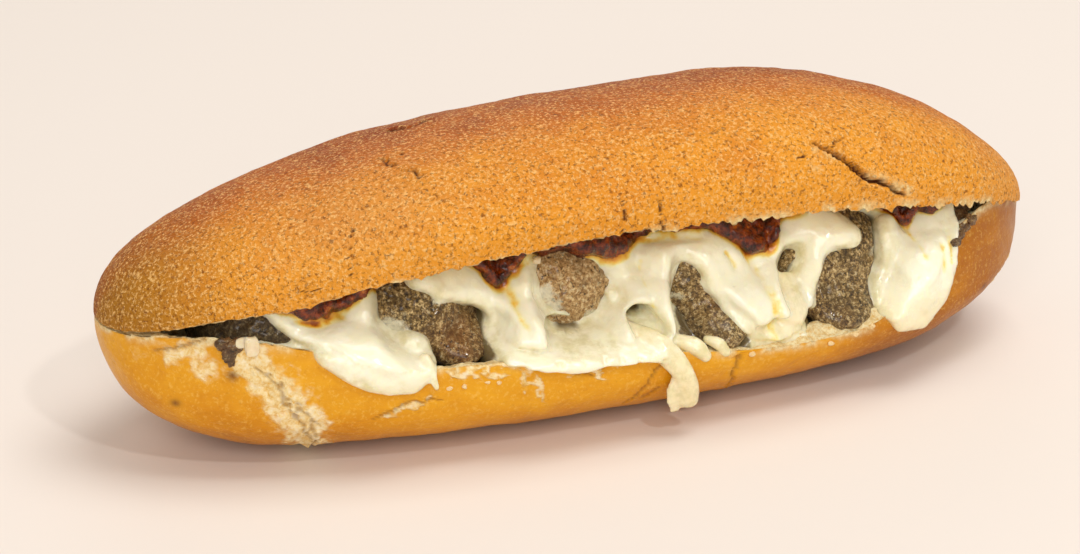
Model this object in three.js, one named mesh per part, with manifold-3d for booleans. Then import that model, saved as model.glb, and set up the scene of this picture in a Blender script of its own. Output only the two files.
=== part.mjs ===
// A meatball submarine sandwich. A long soft roll is cut into a bottom and a top half. A row
// of six meatballs lies between them, melted cheese is draped over the meatballs and hangs
// over the rim, and tomato sauce fills the space between the cheese and the top half.
// Millimetres: X runs along the roll, the open front faces -Y, Z is up and 0 is the table.

import * as THREE from 'three';
import { mergeVertices } from 'three/addons/utils/BufferGeometryUtils.js';
import Module from 'manifold-3d';

const wasm = await Module();
wasm.setup();

// Roll: overall sizes, and the exponents that make its two ends more or less blunt.
const rollLength = 232;
const rollWidth = 76;
const halfLength = rollLength / 2;
const bluntLeft = 2.5;
const bluntRight = 3;
const topOverhang = 0.5;
const seamHeight = 33;
const seamTilt = 0.9;
const widestHeight = 16;
const keelDepth = 0.8;
const rimLean = 0.08;
const rimLeanHeight = 18;
const domeSquare = 0.92;
const domeTaper = 3.4;
const domeFullness = 2.2;
const topFaceSag = 0.42;
const tipTaper = 6;
const keelTaperRight = 4.2;

// Bottom half's cut face: a trough under the meatballs and a soft lip at the front.
const troughFloor = 14.5;
const troughStart = 92;
const troughEnd = 106;
const troughFront = 0.2;
const troughBackStart = 0.58;
const troughBackEnd = 0.86;
const lipHeight = 2.6;
const lipCentre = 58;
const lipReach = 20;
const lipAcross = 0.08;
const lipBreadth = 0.07;

// Fillings: the line that the row of meatballs is threaded on, and thicknesses.
const rowY = -8;
const rowZ = 30;
const cheeseThickness = 2.6;
const drapeStretch = 6;
const drapeFallFront = 0.45;
const drapeFallBack = 1.1;
const sauceThickness = 2.4;
const edgeWidth = 4.2;
const edgeStart = 0.12;
const buriedDepth = 2;
const gap = 0.35;

// Length of one degree round the row at the depth where the fillings show.
const degreeLength = 0.42;

// Centre and half-sizes of each meatball, from the left end of the roll to the right.
const meatballs = [
  { centre: [-81, -5, 31], half: [15.6, 20, 15.8] },
  { centre: [-46.3, -6.2, 31], half: [17.4, 22.5, 17.3] },
  { centre: [-11.4, -5.8, 31.4], half: [16.9, 22, 17] },
  { centre: [22.3, -6, 30], half: [16.2, 22.3, 17] },
  { centre: [56.2, -6.4, 29], half: [17, 22.8, 17.8] },
  { centre: [87.2, -4, 30.6], half: [13.4, 18.5, 14.4] },
];

// Heights of the two rims of each half, as [x, z] stations along the roll.
const topRimFront = profile([
  [-116, 34], [-100, 37.3], [-82, 41.5], [-60, 46.8], [-35, 50.3], [-5, 52.3],
  [25, 51.5], [50, 49.5], [75, 45.5], [98, 40.5], [116, 32.5],
]);
const topRimBack = profile([[-116, 34], [-70, 39.5], [0, 42.5], [70, 41], [116, 32.5]]);
const lowerRimFront = profile([
  [-116, 33.6], [-98, 35], [-82, 33], [-50, 25.5], [-25, 24.2], [0, 22], [28, 18],
  [50, 17], [66, 19.5], [86, 33.5], [98, 38.5], [108, 36.4], [116, 32.1],
]);
const lowerRimBack = profile([[-116, 33.6], [-75, 31], [-30, 27], [30, 26], [80, 31], [116, 32.1]]);
const domeHeight = profile([
  [-116, 24], [-85, 22.3], [-45, 22.8], [0, 23.6], [30, 25], [60, 25.2], [90, 23], [116, 19],
]);

// Where the cheese ends, as the angle round the row: 0 is the back, 90 up, 180 the front.
const cheeseHemFront = profile([
  [-86, 140], [-80, 168], [-75, 179], [-68, 192], [-60, 198], [-50, 197], [-30, 192],
  [-18, 194], [-3, 196], [8, 199], [20, 201], [34, 203], [41, 206], [55, 206], [67, 206],
  [76, 214], [84, 204], [90, 178], [94, 140],
]);
const cheeseHemBack = profile([
  [-86, 45], [-76, 12], [-64, -9], [-50, -4], [-36, -12], [-20, -5], [-4, -8], [10, -3],
  [24, -14], [38, -6], [52, -4], [64, -13], [78, -5], [88, 20], [94, 45],
]);

// Holes in the cheese through which the meatballs show.
const cheeseHoles = [
  { x: -52.5, angle: 162, halfX: 4, halfAngle: 18 },
  { x: -40.5, angle: 186, halfX: 11, halfAngle: 20 },
  { x: -11, angle: 161, halfX: 9.4, halfAngle: 17 },
  { x: -13.5, angle: 188, halfX: 3.2, halfAngle: 5 },
  { x: 18, angle: 168, halfX: 3.6, halfAngle: 13 },
  { x: 21, angle: 192, halfX: 8, halfAngle: 13 },
  { x: 57, angle: 184, halfX: 10.6, halfAngle: 29 },
  { x: -56, angle: 18, halfX: 7, halfAngle: 13 },
  { x: -27, angle: 20, halfX: 5, halfAngle: 9 },
  { x: 3, angle: 17, halfX: 8, halfAngle: 13 },
  { x: 33, angle: 19, halfX: 6, halfAngle: 10 },
  { x: 62, angle: 16, halfX: 8, halfAngle: 13 },
];

// Runs of melted cheese that leave the sheet, as points on their middle line and half-widths.
const cheeseRuns = [
  {
    width: [3.4, 3, 2.6, 2.3, 3],
    path: [[2, -33, 22], [8, -38.4, 19.6], [11.6, -40.2, 14.5], [12.6, -40, 9.6], [11.6, -39, 5.6]],
  },
  { width: [3, 3.2, 2.2], path: [[13, -35, 20.5], [18, -38.6, 18.4], [22.5, -39.6, 15.6]] },
  { width: [4.5, 4.2, 3.4], path: [[43, -26, 31], [41.5, -31.5, 22], [40, -36, 16.4]] },
  { width: [3.4, 2.8, 2.8], path: [[-37, 31, 28], [-38.5, 38.6, 24], [-38.4, 40, 18], [-38, 39.6, 12]] },
  { width: [3.2, 2.6, 2.4, 2.8], path: [[25, 31, 28], [23.5, 38.8, 23], [24.5, 40.2, 16], [24, 39, 9]] },
];
const runThickness = 1.9;

// Where the sauce ends at the front and at the back, as the angle round the row.
const sauceHemFront = profile([
  [-90, 128], [-80, 146], [-68, 153], [-58, 143], [-46, 139], [-32, 143], [-26.5, 164],
  [-21, 145], [-10, 142], [4, 146], [20, 141], [32, 146], [39, 160], [46, 144], [62, 142],
  [72, 160], [80, 146], [88, 152], [94, 128],
]);
const sauceHemBack = profile([
  [-90, 55], [-78, 22], [-60, 12], [-44, 18], [-28, 8], [-8, 16], [12, 9], [34, 17],
  [52, 10], [72, 14], [84, 26], [94, 55],
]);

// Mesh density: stations along the roll and points round each ring.
const rollStations = 32;
const endCrowding = 0.28;
const rowStart = -89;
const rowEnd = 95.5;
const rowStations = 38;
const crustSteps = 10;
const crumbSteps = [0.93, 0.86, 0.79, 0.72, 0.62, 0.4, 0.2, 0.14, 0.08, 0.03];
const domeSteps = 12;
const rowAngles = [
  ...angleSteps(-26, -6, 2),
  ...angleSteps(-6, 6, 3),
  ...angleSteps(6, 46, 3),
  ...angleSteps(46, 126, 5),
  ...angleSteps(126, 222, 14),
  ...angleSteps(222, 334, 3),
];

function angleSteps(from, to, count) {
  return Array.from({ length: count }, (_, i) => from + ((to - from) * i) / count);
}

// Smooth curve through [position, value] stations, level beyond the two ends.
function profile(stations) {
  const last = stations.length - 1;
  const slopes = stations.map((_, i) => {
    const before = stations[Math.max(i - 1, 0)];
    const after = stations[Math.min(i + 1, last)];
    return (after[1] - before[1]) / (after[0] - before[0]);
  });
  return (position) => {
    let i = 0;
    while (i < last - 1 && position > stations[i + 1][0]) {
      i += 1;
    }
    const span = stations[i + 1][0] - stations[i][0];
    const t = THREE.MathUtils.clamp((position - stations[i][0]) / span, 0, 1);
    const fromStart = (2 * t ** 3 - 3 * t ** 2 + 1) * stations[i][1];
    const fromEnd = (3 * t ** 2 - 2 * t ** 3) * stations[i + 1][1];
    const startSlope = (t ** 3 - 2 * t ** 2 + t) * span * slopes[i];
    const endSlope = (t ** 3 - t ** 2) * span * slopes[i + 1];
    return fromStart + fromEnd + startSlope + endSlope;
  };
}

// Smooth unevenness between about -1 and 1 along the roll and round it.
function uneven(x, angle, scale, phase) {
  const u = x / scale;
  const v = (angle * degreeLength) / scale;
  const coarse = Math.sin(2.1 * u + 1.3 * v + phase) + Math.sin(1.7 * v - 1.1 * u + 2.3 * phase);
  const fine = Math.sin(3.9 * u - 2.7 * v + 4.1 * phase);
  return coarse * 0.36 + fine * 0.28;
}

// ---- Roll ----

function taper(x, exponent) {
  return Math.max(0, 1 - Math.abs(x / halfLength) ** exponent);
}

function rollHalfWidth(x) {
  return (rollWidth / 2) * Math.sqrt(taper(x, x < 0 ? bluntLeft : bluntRight));
}

function seamLevel(x) {
  return seamHeight - (seamTilt * x) / halfLength;
}

function widestLevel(x) {
  return seamLevel(x) - (seamLevel(x) - widestHeight) * Math.sqrt(taper(x, tipTaper));
}

function keelLevel(x) {
  return seamLevel(x) - (seamLevel(x) + keelDepth) * Math.sqrt(taper(x, x < 0 ? tipTaper : keelTaperRight));
}

// Half-width of the bottom half at a height: an ellipse below its widest level, and nearly
// upright crust above it.
function lowerHalfWidth(x, z) {
  const widest = widestLevel(x);
  const depth = Math.max(widest - keelLevel(x), 1e-6);
  if (z < widest) {
    return rollHalfWidth(x) * Math.sqrt(Math.max(0, 1 - ((widest - z) / depth) ** 2));
  }
  return rollHalfWidth(x) * (1 - rimLean * Math.min((z - widest) / rimLeanHeight, 1.3) ** 2);
}

// Height of the bottom half's cut face, across = 0 at the front rim and 1 at the back rim.
function lowerCrumbLevel(x, across) {
  const rimLine = THREE.MathUtils.lerp(lowerRimFront(x), lowerRimBack(x), across);
  const ends = 1 - THREE.MathUtils.smoothstep(Math.abs(x), troughStart, troughEnd);
  const backSide = 1 - THREE.MathUtils.smoothstep(across, troughBackStart, troughBackEnd);
  const sides = THREE.MathUtils.smoothstep(across, 0, troughFront) * backSide;
  const fromLip = ((x - lipCentre) / lipReach) ** 4 + ((across - lipAcross) / lipBreadth) ** 2;
  const lip = lipHeight * Math.exp(-fromLip);
  return rimLine - (rimLine - troughFloor) * ends * sides + lip * Math.min(across * 25, 1);
}

// Moves each point of a ring outwards, square to its two neighbours. Rings run anticlockwise.
function grownRing(ring, grow) {
  return ring.map(([y, z], i) => {
    const [beforeY, beforeZ] = ring.at(i - 1);
    const [afterY, afterZ] = ring[(i + 1) % ring.length];
    const length = Math.hypot(afterZ - beforeZ, beforeY - afterY) || 1;
    return [y + (grow * (afterZ - beforeZ)) / length, z + (grow * (beforeY - afterY)) / length];
  });
}

function lowerRing(x) {
  const ring = [];
  const rims = [lowerRimFront(x), lowerRimBack(x)];
  const widest = widestLevel(x);
  const middle = rims.map((rim) => (rim + widest) / 2);
  ring.push([-lowerHalfWidth(x, rims[0]), rims[0]]);
  ring.push([-lowerHalfWidth(x, middle[0]), middle[0]]);
  for (let i = 0; i <= crustSteps; i += 1) {
    const turn = (Math.PI * i) / crustSteps;
    const depth = (widest - keelLevel(x)) * Math.sin(turn);
    ring.push([-rollHalfWidth(x) * Math.cos(turn), Math.max(widest - depth, 0)]);
  }
  ring.push([lowerHalfWidth(x, middle[1]), middle[1]]);
  ring.push([lowerHalfWidth(x, rims[1]), rims[1]]);
  const from = -lowerHalfWidth(x, rims[0]);
  const to = lowerHalfWidth(x, rims[1]);
  for (const across of crumbSteps) {
    ring.push([THREE.MathUtils.lerp(from, to, across), lowerCrumbLevel(x, across)]);
  }
  return ring;
}

function insideLower(x, y, z) {
  if (z < 0 || Math.abs(y) > lowerHalfWidth(x, z)) {
    return false;
  }
  const from = -lowerHalfWidth(x, lowerRimFront(x));
  const to = lowerHalfWidth(x, lowerRimBack(x));
  return z <= lowerCrumbLevel(x, THREE.MathUtils.clamp((y - from) / (to - from), 0, 1));
}

// The top half is a dome over its two rims, with a cut face that sags a little between them.
function topRing(x) {
  const ring = [];
  const halfWidth = rollHalfWidth(x) + topOverhang;
  const rimLine = (t) => THREE.MathUtils.lerp(topRimFront(x), topRimBack(x), t);
  const height = domeHeight(x) * taper(x, domeTaper) ** (1 / domeFullness);
  for (let i = 0; i <= domeSteps; i += 1) {
    const turn = (Math.PI * i) / domeSteps;
    const side = -Math.sign(Math.cos(turn)) * Math.abs(Math.cos(turn)) ** domeSquare;
    const across = (side + 1) / 2;
    ring.push([side * halfWidth, rimLine(across) + height * Math.max(0, Math.sin(turn)) ** domeSquare]);
  }
  const open = Math.max(0, topRimBack(x) - lowerRimBack(x) - 1);
  for (const across of [0.94, 0.85, 0.72, 0.5, 0.28, 0.12, 0.05]) {
    const sag = topFaceSag * open * Math.sin(Math.PI * across ** 1.6);
    ring.push([(2 * across - 1) * halfWidth, rimLine(across) - sag]);
  }
  return ring;
}

// ---- Surfaces round the row of meatballs ----

// Distance from the row's line to the far side of an ellipsoid, or 0 where the ray misses it.
function ellipsoidReach(x, angle, centre, half) {
  const slice = 1 - ((x - centre[0]) / half[0]) ** 2;
  if (slice <= 0) {
    return 0;
  }
  const turn = THREE.MathUtils.degToRad(angle);
  const [dirY, dirZ] = [Math.cos(turn) / half[1], Math.sin(turn) / half[2]];
  const [offY, offZ] = [(rowY - centre[1]) / half[1], (rowZ - centre[2]) / half[2]];
  const a = dirY ** 2 + dirZ ** 2;
  const b = offY * dirY + offZ * dirZ;
  const inside = b * b - a * (offY ** 2 + offZ ** 2 - slice);
  return inside > 0 ? (Math.sqrt(inside) - b) / a : 0;
}

function breadReach(x, angle) {
  const turn = THREE.MathUtils.degToRad(angle);
  for (let reach = 54; reach > 3; reach -= 0.4) {
    if (insideLower(x, rowY + reach * Math.cos(turn), rowZ + reach * Math.sin(turn))) {
      return reach;
    }
  }
  return 0;
}

// Farthest reach of the meatballs and the bottom half.
function rowReach(x, angle) {
  const reaches = meatballs.map(({ centre, half }) => ellipsoidReach(x, angle, centre, half));
  return Math.max(...reaches, breadReach(x, angle));
}

// Reach of a sheet that slopes from the row down to a rim of the bottom half.
function slopeReach(angle, rimY, rimZ, fall) {
  const rimAngle = THREE.MathUtils.radToDeg(Math.atan2(rimZ - rowZ, rimY - rowY));
  const turned = rimY < 0 && rimAngle < 0 ? rimAngle + 360 : rimAngle;
  const above = rimY < 0 ? turned - angle : angle - turned;
  return above < 0 ? 0 : Math.hypot(rimY - rowY, rimZ - rowZ) - fall * above;
}

// Reach of a sheet draped over the row: it bridges the valleys between the meatballs and
// slopes from them to both rims.
function drapeReach(x, angle) {
  const reaches = meatballs.map(({ centre, half }) => {
    return ellipsoidReach(x, angle, centre, [half[0] + drapeStretch, half[1], half[2]]);
  });
  const rims = [lowerRimFront(x), lowerRimBack(x)];
  const front = slopeReach(angle, -lowerHalfWidth(x, rims[0]), rims[0], drapeFallFront);
  const back = slopeReach(angle, lowerHalfWidth(x, rims[1]), rims[1], drapeFallBack);
  return Math.max(...reaches, breadReach(x, angle), front, back);
}

// How far a place lies inside the cheese, in millimetres, less than 0 outside it.
function cheeseCover(x, angle) {
  const wave = 1.6 * uneven(x, angle, 7, 0.4);
  const insets = cheeseHoles.map((hole) => {
    const fromCentre = Math.hypot((x - hole.x) / hole.halfX, (angle - hole.angle) / hole.halfAngle);
    return (fromCentre - 1) * Math.min(hole.halfX, hole.halfAngle * degreeLength);
  });
  const hemFront = (cheeseHemFront(x) - angle) * degreeLength;
  const hemBack = (angle - cheeseHemBack(x)) * degreeLength;
  return Math.min(hemFront + wave, hemBack + wave, ...insets);
}

// Rises out of the row with a rounded edge: buried where it doesn't cover, full height inside.
function risingReach(x, angle, cover, full) {
  const buried = rowReach(x, angle) - buriedDepth;
  const t = THREE.MathUtils.clamp(edgeStart + cover / edgeWidth, 0, 1);
  return THREE.MathUtils.lerp(buried, full, Math.sqrt(1 - (1 - t) ** 2));
}

function cheeseReach(x, angle) {
  const thickness = cheeseThickness + 0.6 * uneven(x, angle, 9, 1.7);
  return risingReach(x, angle, cheeseCover(x, angle), drapeReach(x, angle) + thickness);
}

function sauceReach(x, angle) {
  const hemFront = (sauceHemFront(x) - angle) * degreeLength;
  const hemBack = (angle - sauceHemBack(x)) * degreeLength;
  const cover = Math.min(hemFront, hemBack) + 1.2 * uneven(x, angle, 4, 3.1);
  const thickness = cheeseThickness + sauceThickness + 0.9 * uneven(x, angle, 5, 0.9);
  return risingReach(x, angle, cover, drapeReach(x, angle) + thickness);
}

// ---- Solids ----

function toManifold(geometry) {
  geometry.deleteAttribute('normal');
  geometry.deleteAttribute('uv');
  const merged = mergeVertices(geometry, 1e-5);
  const mesh = new wasm.Mesh({
    numProp: 3,
    vertProperties: Float32Array.from(merged.attributes.position.array),
    triVerts: Uint32Array.from(merged.index.array),
  });
  return new wasm.Manifold(mesh);
}

// Closed solid through rings of points, all with the same count, closed by a tip at each end.
function ringSolid(rings, startTip, endTip) {
  const around = rings[0].length;
  const positions = [...rings.flat(2), ...startTip, ...endTip];
  const startIndex = rings.length * around;
  const endIndex = startIndex + 1;
  const index = [];
  rings.forEach((_, r) => {
    for (let i = 0; i < around; i += 1) {
      const next = (i + 1) % around;
      const [a, b] = [r * around + i, r * around + next];
      if (r === 0) {
        index.push(startIndex, b, a);
      }
      if (r === rings.length - 1) {
        index.push(endIndex, a, b);
      } else {
        index.push(a, b, b + around, a, b + around, a + around);
      }
    }
  });
  const geometry = new THREE.BufferGeometry();
  geometry.setAttribute('position', new THREE.Float32BufferAttribute(positions, 3));
  geometry.setIndex(index);
  const solid = toManifold(geometry);
  if (solid.volume() > 0) {
    return solid;
  }
  geometry.setIndex(index.toReversed());
  return toManifold(geometry);
}

// Stations that crowd towards both ends, where the roll closes fast.
function rollPositions() {
  return Array.from({ length: rollStations }, (_, i) => {
    const t = (2 * (i + 0.5)) / rollStations - 1;
    const eased = Math.sin((Math.PI / 2) * t);
    return halfLength * (endCrowding * eased ** 3 + (1 - endCrowding) * eased);
  });
}

function rollSolid(ringAt) {
  const positions = rollPositions();
  const rings = positions.map((x) => ringAt(x).map(([y, z]) => [x, y, z]));
  const tips = [rings[0], rings.at(-1)].map((ring) => {
    const levels = ring.map((point) => point[2]);
    return (Math.min(...levels) + Math.max(...levels)) / 2;
  });
  return ringSolid(rings, [-halfLength, 0, tips[0]], [halfLength, 0, tips[1]]);
}

function rowSolid(reachAt, grow) {
  const rings = Array.from({ length: rowStations }, (_, i) => {
    const along = i / (rowStations - 1);
    const x = THREE.MathUtils.lerp(rowStart, rowEnd, along);
    return rowAngles.map((angle) => {
      const turn = THREE.MathUtils.degToRad(angle);
      const reach = Math.max(reachAt(x, angle), 2) + grow;
      return [x, rowY + reach * Math.cos(turn), rowZ + reach * Math.sin(turn)];
    });
  });
  return ringSolid(rings, [rowStart - 1, rowY, rowZ], [rowEnd + 1, rowY, rowZ]);
}

function meatballSolid({ centre, half }, number, grow) {
  const geometry = new THREE.IcosahedronGeometry(1, 2);
  const position = geometry.attributes.position;
  const point = new THREE.Vector3();
  for (let i = 0; i < position.count; i += 1) {
    point.fromBufferAttribute(position, i).normalize();
    const lumps = Math.sin(4.1 * point.x + number) * Math.sin(3.7 * point.z + 2 * number)
      + 0.6 * Math.sin(6.3 * point.z - 5.2 * point.x + 3 * number) * Math.cos(4.6 * point.y);
    const size = 1 + 0.03 * (lumps - 0.9);
    position.setXYZ(
      i,
      centre[0] + point.x * (half[0] * size + grow),
      centre[1] + point.y * (half[1] * size + grow),
      centre[2] + point.z * (half[2] * size + grow),
    );
  }
  return toManifold(geometry);
}

// A run of cheese: flattened rings along its path, thinner away from the bread than it is wide.
function runSolid({ path, width }, grow) {
  const curve = new THREE.CatmullRomCurve3(path.map((point) => new THREE.Vector3(...point)));
  const steps = 2 * (path.length - 1);
  const outward = new THREE.Vector3(0, Math.sign(path[1][1]), 0.25).normalize();
  const widthAt = profile(width.map((value, i) => [i / (width.length - 1), value]));
  const rings = Array.from({ length: steps + 1 }, (_, i) => {
    const along = i / steps;
    const centre = curve.getPoint(along);
    const side = curve.getTangent(along).cross(outward).normalize();
    const out = side.clone().cross(curve.getTangent(along)).normalize();
    return angleSteps(0, 360, 6).map((angle) => {
      const turn = THREE.MathUtils.degToRad(angle);
      const sideways = side.clone().multiplyScalar(Math.cos(turn) * (widthAt(along) + grow));
      const outwards = out.clone().multiplyScalar(Math.sin(turn) * (runThickness + grow));
      return centre.clone().add(sideways).add(outwards).toArray();
    });
  });
  const tipAt = (along, reach) => {
    return curve.getPoint(along).addScaledVector(curve.getTangent(along), reach * (1.4 + grow)).toArray();
  };
  return ringSolid(rings, tipAt(0, -1), tipAt(1, 1));
}

function largest(solid) {
  return solid.decompose().reduce((a, b) => (a.volume() > b.volume() ? a : b));
}

function addAll(solids) {
  return solids.reduce((sum, solid) => sum.add(solid));
}

function cheeseSheet(grow) {
  return addAll([rowSolid(cheeseReach, grow), ...cheeseRuns.map((run) => runSolid(run, grow))]);
}

const balls = meatballs.map((ball, i) => meatballSolid(ball, i, 0));
const ballRoom = addAll(meatballs.map((ball, i) => meatballSolid(ball, i, gap)));
const lowerRoom = rollSolid(lowerRing).add(rollSolid((x) => grownRing(lowerRing(x), gap)));
const cheeseRoom = cheeseSheet(gap);
const sauceRoom = rowSolid(sauceReach, gap);

const lowerHalf = largest(rollSolid(lowerRing).subtract(ballRoom));
const cheese = largest(cheeseSheet(0).subtract(ballRoom).subtract(lowerRoom));
const sauce = largest(rowSolid(sauceReach, 0).subtract(cheeseRoom).subtract(ballRoom).subtract(lowerRoom));
const topHalf = largest(
  rollSolid(topRing).subtract(sauceRoom).subtract(cheeseRoom).subtract(ballRoom).subtract(lowerRoom),
);

// ---- Scene graph, with the drips included in the middle of the width ----

const group = new THREE.Group();

function addNode(name, solid, colour, roughness) {
  const { vertProperties, triVerts, numProp } = solid.getMesh();
  const geometry = new THREE.BufferGeometry();
  const positions = new Float32Array(vertProperties.length / numProp * 3);
  for (let i = 0; i < positions.length / 3; i += 1) {
    positions.set(vertProperties.subarray(i * numProp, i * numProp + 3), i * 3);
  }
  geometry.setAttribute('position', new THREE.BufferAttribute(positions, 3));
  geometry.setIndex(new THREE.BufferAttribute(Uint32Array.from(triVerts), 1));
  const material = new THREE.MeshStandardMaterial({ color: colour, roughness, metalness: 0 });
  const mesh = new THREE.Mesh(geometry, material);
  mesh.name = name;
  group.add(mesh);
}

addNode('bread_bottom', lowerHalf, 0xd9a050, 0.55);
balls.forEach((ball, i) => addNode(`meatball_${i + 1}`, ball, 0x6e5a44, 0.5));
addNode('cheese', cheese, 0xf1e8c4, 0.35);
addNode('sauce', sauce, 0x7a1f0d, 0.3);
addNode('bread_top', topHalf, 0xc07c40, 0.7);

const box = new THREE.Box3().setFromObject(group);
group.position.y = -(box.min.y + box.max.y) / 2;

export default group;
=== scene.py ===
import math

import bmesh
import bpy
import numpy as np
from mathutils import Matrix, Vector


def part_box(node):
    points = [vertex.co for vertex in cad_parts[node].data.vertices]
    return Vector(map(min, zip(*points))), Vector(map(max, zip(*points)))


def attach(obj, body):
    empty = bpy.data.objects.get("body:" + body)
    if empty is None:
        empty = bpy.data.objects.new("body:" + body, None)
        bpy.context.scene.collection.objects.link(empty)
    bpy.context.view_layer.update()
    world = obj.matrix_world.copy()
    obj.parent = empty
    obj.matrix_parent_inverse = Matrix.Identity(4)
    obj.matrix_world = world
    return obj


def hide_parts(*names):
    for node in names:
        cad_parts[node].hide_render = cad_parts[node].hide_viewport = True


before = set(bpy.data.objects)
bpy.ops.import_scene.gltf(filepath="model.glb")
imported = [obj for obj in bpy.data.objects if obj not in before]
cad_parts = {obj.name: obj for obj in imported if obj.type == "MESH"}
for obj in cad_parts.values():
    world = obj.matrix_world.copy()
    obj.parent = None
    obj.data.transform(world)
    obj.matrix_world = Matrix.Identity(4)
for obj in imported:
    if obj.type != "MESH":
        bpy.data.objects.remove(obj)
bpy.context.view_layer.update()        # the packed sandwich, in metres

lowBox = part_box("bread_bottom")
mm = 0.001
middleY = (lowBox[0][1] + lowBox[1][1]) / 2 / mm     # the roll's middle, a little off the origin


def curveThrough(stations):
    # smooth curve through (position, value) stations, level beyond both ends
    at = np.array([s[0] for s in stations], float)
    value = np.array([s[1] for s in stations], float)
    slope = np.empty(len(at))
    slope[1:-1] = (value[2:] - value[:-2]) / (at[2:] - at[:-2])
    slope[0] = (value[1] - value[0]) / (at[1] - at[0])
    slope[-1] = (value[-1] - value[-2]) / (at[-1] - at[-2])

    def height(position):
        p = np.clip(np.asarray(position, float), at[0], at[-1])
        i = np.clip(np.searchsorted(at, p) - 1, 0, len(at) - 2)
        span = at[i + 1] - at[i]
        t = (p - at[i]) / span
        near = (2 * t**3 - 3 * t**2 + 1) * value[i] + (t**3 - 2 * t**2 + t) * span * slope[i]
        far = (3 * t**2 - 2 * t**3) * value[i + 1] + (t**3 - t**2) * span * slope[i + 1]
        return near + far
    return height


roll = {
    "halfLength": 116,
    "halfWidth": 38,
    "bluntLeft": 2.5,
    "bluntRight": 3,
    "topOverhang": 0.5,
    "seamHeight": 33,
    "seamTilt": 0.9,
    "widestHeight": 16,
    "keelDepth": 0.8,
    "topFront": [(-116, 34), (-100, 37.3), (-82, 41.5), (-60, 46.8), (-35, 50.3), (-5, 52.3),
                 (25, 51.5), (50, 49.5), (75, 45.5), (98, 40.5), (116, 32.5)],
    "topBack": [(-116, 34), (-70, 39.5), (0, 42.5), (70, 41), (116, 32.5)],
    "lowFront": [(-116, 33.6), (-98, 35), (-82, 33), (-50, 25.5), (-25, 24.2), (0, 22), (28, 18),
                 (50, 17), (66, 19.5), (86, 33.5), (98, 38.5), (108, 36.4), (116, 32.1)],
    "lowBack": [(-116, 33.6), (-75, 31), (-30, 27), (30, 26), (80, 31), (116, 32.1)],
    "dome": [(-116, 24), (-85, 22.3), (-45, 22.8), (0, 23.6), (30, 25), (60, 25.2), (90, 23), (116, 19)],
    "troughFloor": 14.5,
    "lip": 2.6,
    "lipCentre": 58,
    "lipReach": 20,
}
topFront, topBack = curveThrough(roll["topFront"]), curveThrough(roll["topBack"])
lowFront, lowBack = curveThrough(roll["lowFront"]), curveThrough(roll["lowBack"])
domeHeight = curveThrough(roll["dome"])


def smoothStep(value, low, high):
    t = np.clip((value - low) / (high - low), 0, 1)
    return t * t * (3 - 2 * t)


def mix(a, b, t):
    return a + (b - a) * t


def highest(*fields):
    return np.maximum.reduce(fields)


def bell(value):
    return np.exp(-(value**2))


def unitLength(vectors):
    return vectors / np.linalg.norm(vectors, axis=1)[:, None]


def taper(x, exponent):
    return np.maximum(0, 1 - np.abs(x / roll["halfLength"]) ** exponent)


def alongRoll(share):
    # from share 0 at the left end to 1 at the right, closer together near the ends
    s = np.sin(math.pi / 2 * (2 * share - 1))
    return roll["halfLength"] * (0.72 * s + 0.28 * s**3)


def nearEnds(x, length):
    # 1 along the roll, falling to 0 over that length at both ends
    return np.clip((roll["halfLength"] - np.abs(x)) / length, 0, 1)


def halfWidthAt(x):
    return roll["halfWidth"] * np.sqrt(taper(x, np.where(x < 0, roll["bluntLeft"], roll["bluntRight"])))


def seamLevel(x):
    return roll["seamHeight"] - roll["seamTilt"] * x / roll["halfLength"]


def widestLevel(x):
    return seamLevel(x) - (seamLevel(x) - roll["widestHeight"]) * np.sqrt(taper(x, 6))


def keelLevel(x):
    return seamLevel(x) - (seamLevel(x) + roll["keelDepth"]) * np.sqrt(taper(x, np.where(x < 0, 6, 4.2)))


def lowHalfWidth(x, z):
    widest = widestLevel(x)
    depth = np.maximum(widest - keelLevel(x), 1e-6)
    under = np.sqrt(np.maximum(0, 1 - (np.clip(widest - z, 0, None) / depth) ** 2))
    over = 1 - 0.08 * np.clip((z - widest) / 18, 0, 1.3) ** 2
    return halfWidthAt(x) * np.where(z < widest, under, over)


def crumbLevel(x, across):
    # the bottom half's cut face, across = 0 at the front rim and 1 at the back rim
    rimLine = mix(lowFront(x), lowBack(x), across)
    ends = 1 - smoothStep(np.abs(x), 92, 106)
    sides = smoothStep(across, 0, 0.2) * (1 - smoothStep(across, 0.58, 0.86))
    lipPlace = ((x - roll["lipCentre"]) / roll["lipReach"]) ** 4 + ((across - 0.08) / 0.07) ** 2
    lip = roll["lip"] * np.exp(-lipPlace) * np.minimum(across * 25, 1)
    return rimLine - (rimLine - roll["troughFloor"]) * ends * sides + lip


row = {
    "y": -8,
    "z": 30,
    "degree": 0.42,        # length of one degree round the row where the fillings show
    "cheese": 2.6,
    "sauce": 2.4,
    "stretch": 8,
    "buried": 2,
    "edge": 4.2,
    "start": -90,
    "end": 96.5,
    "core": 5,             # how far the fillings' hidden underside lies from the row's line
    "coreStart": (226, 240),         # degrees over which the skin draws in under the meat
    "coreEnd": (316, 328),           # and comes out again
    "room": 0.35,          # left between the bread and what lies in it
    "balls": [((-81, -5, 31), (15.6, 20, 15.8)), ((-46.3, -6.2, 31), (17.4, 22.5, 17.3)),
              ((-11.4, -5.8, 31.4), (16.9, 22, 17)), ((22.3, -6, 30), (16.2, 22.3, 17)),
              ((56.2, -6.4, 29), (17, 22.8, 17.8)), ((87.2, -4, 30.6), (13.4, 18.5, 14.4))],
    # where the meat bulges out to the front rim: along, degrees, size, height
    "bulges": [
        (-35.5, 194, 8.5, 9.5), (28, 201, 8, 10), (19.5, 201, 6, 7), (52, 204, 8.5, 8),
        (62, 203, 7, 6),
    ],
}


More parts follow.
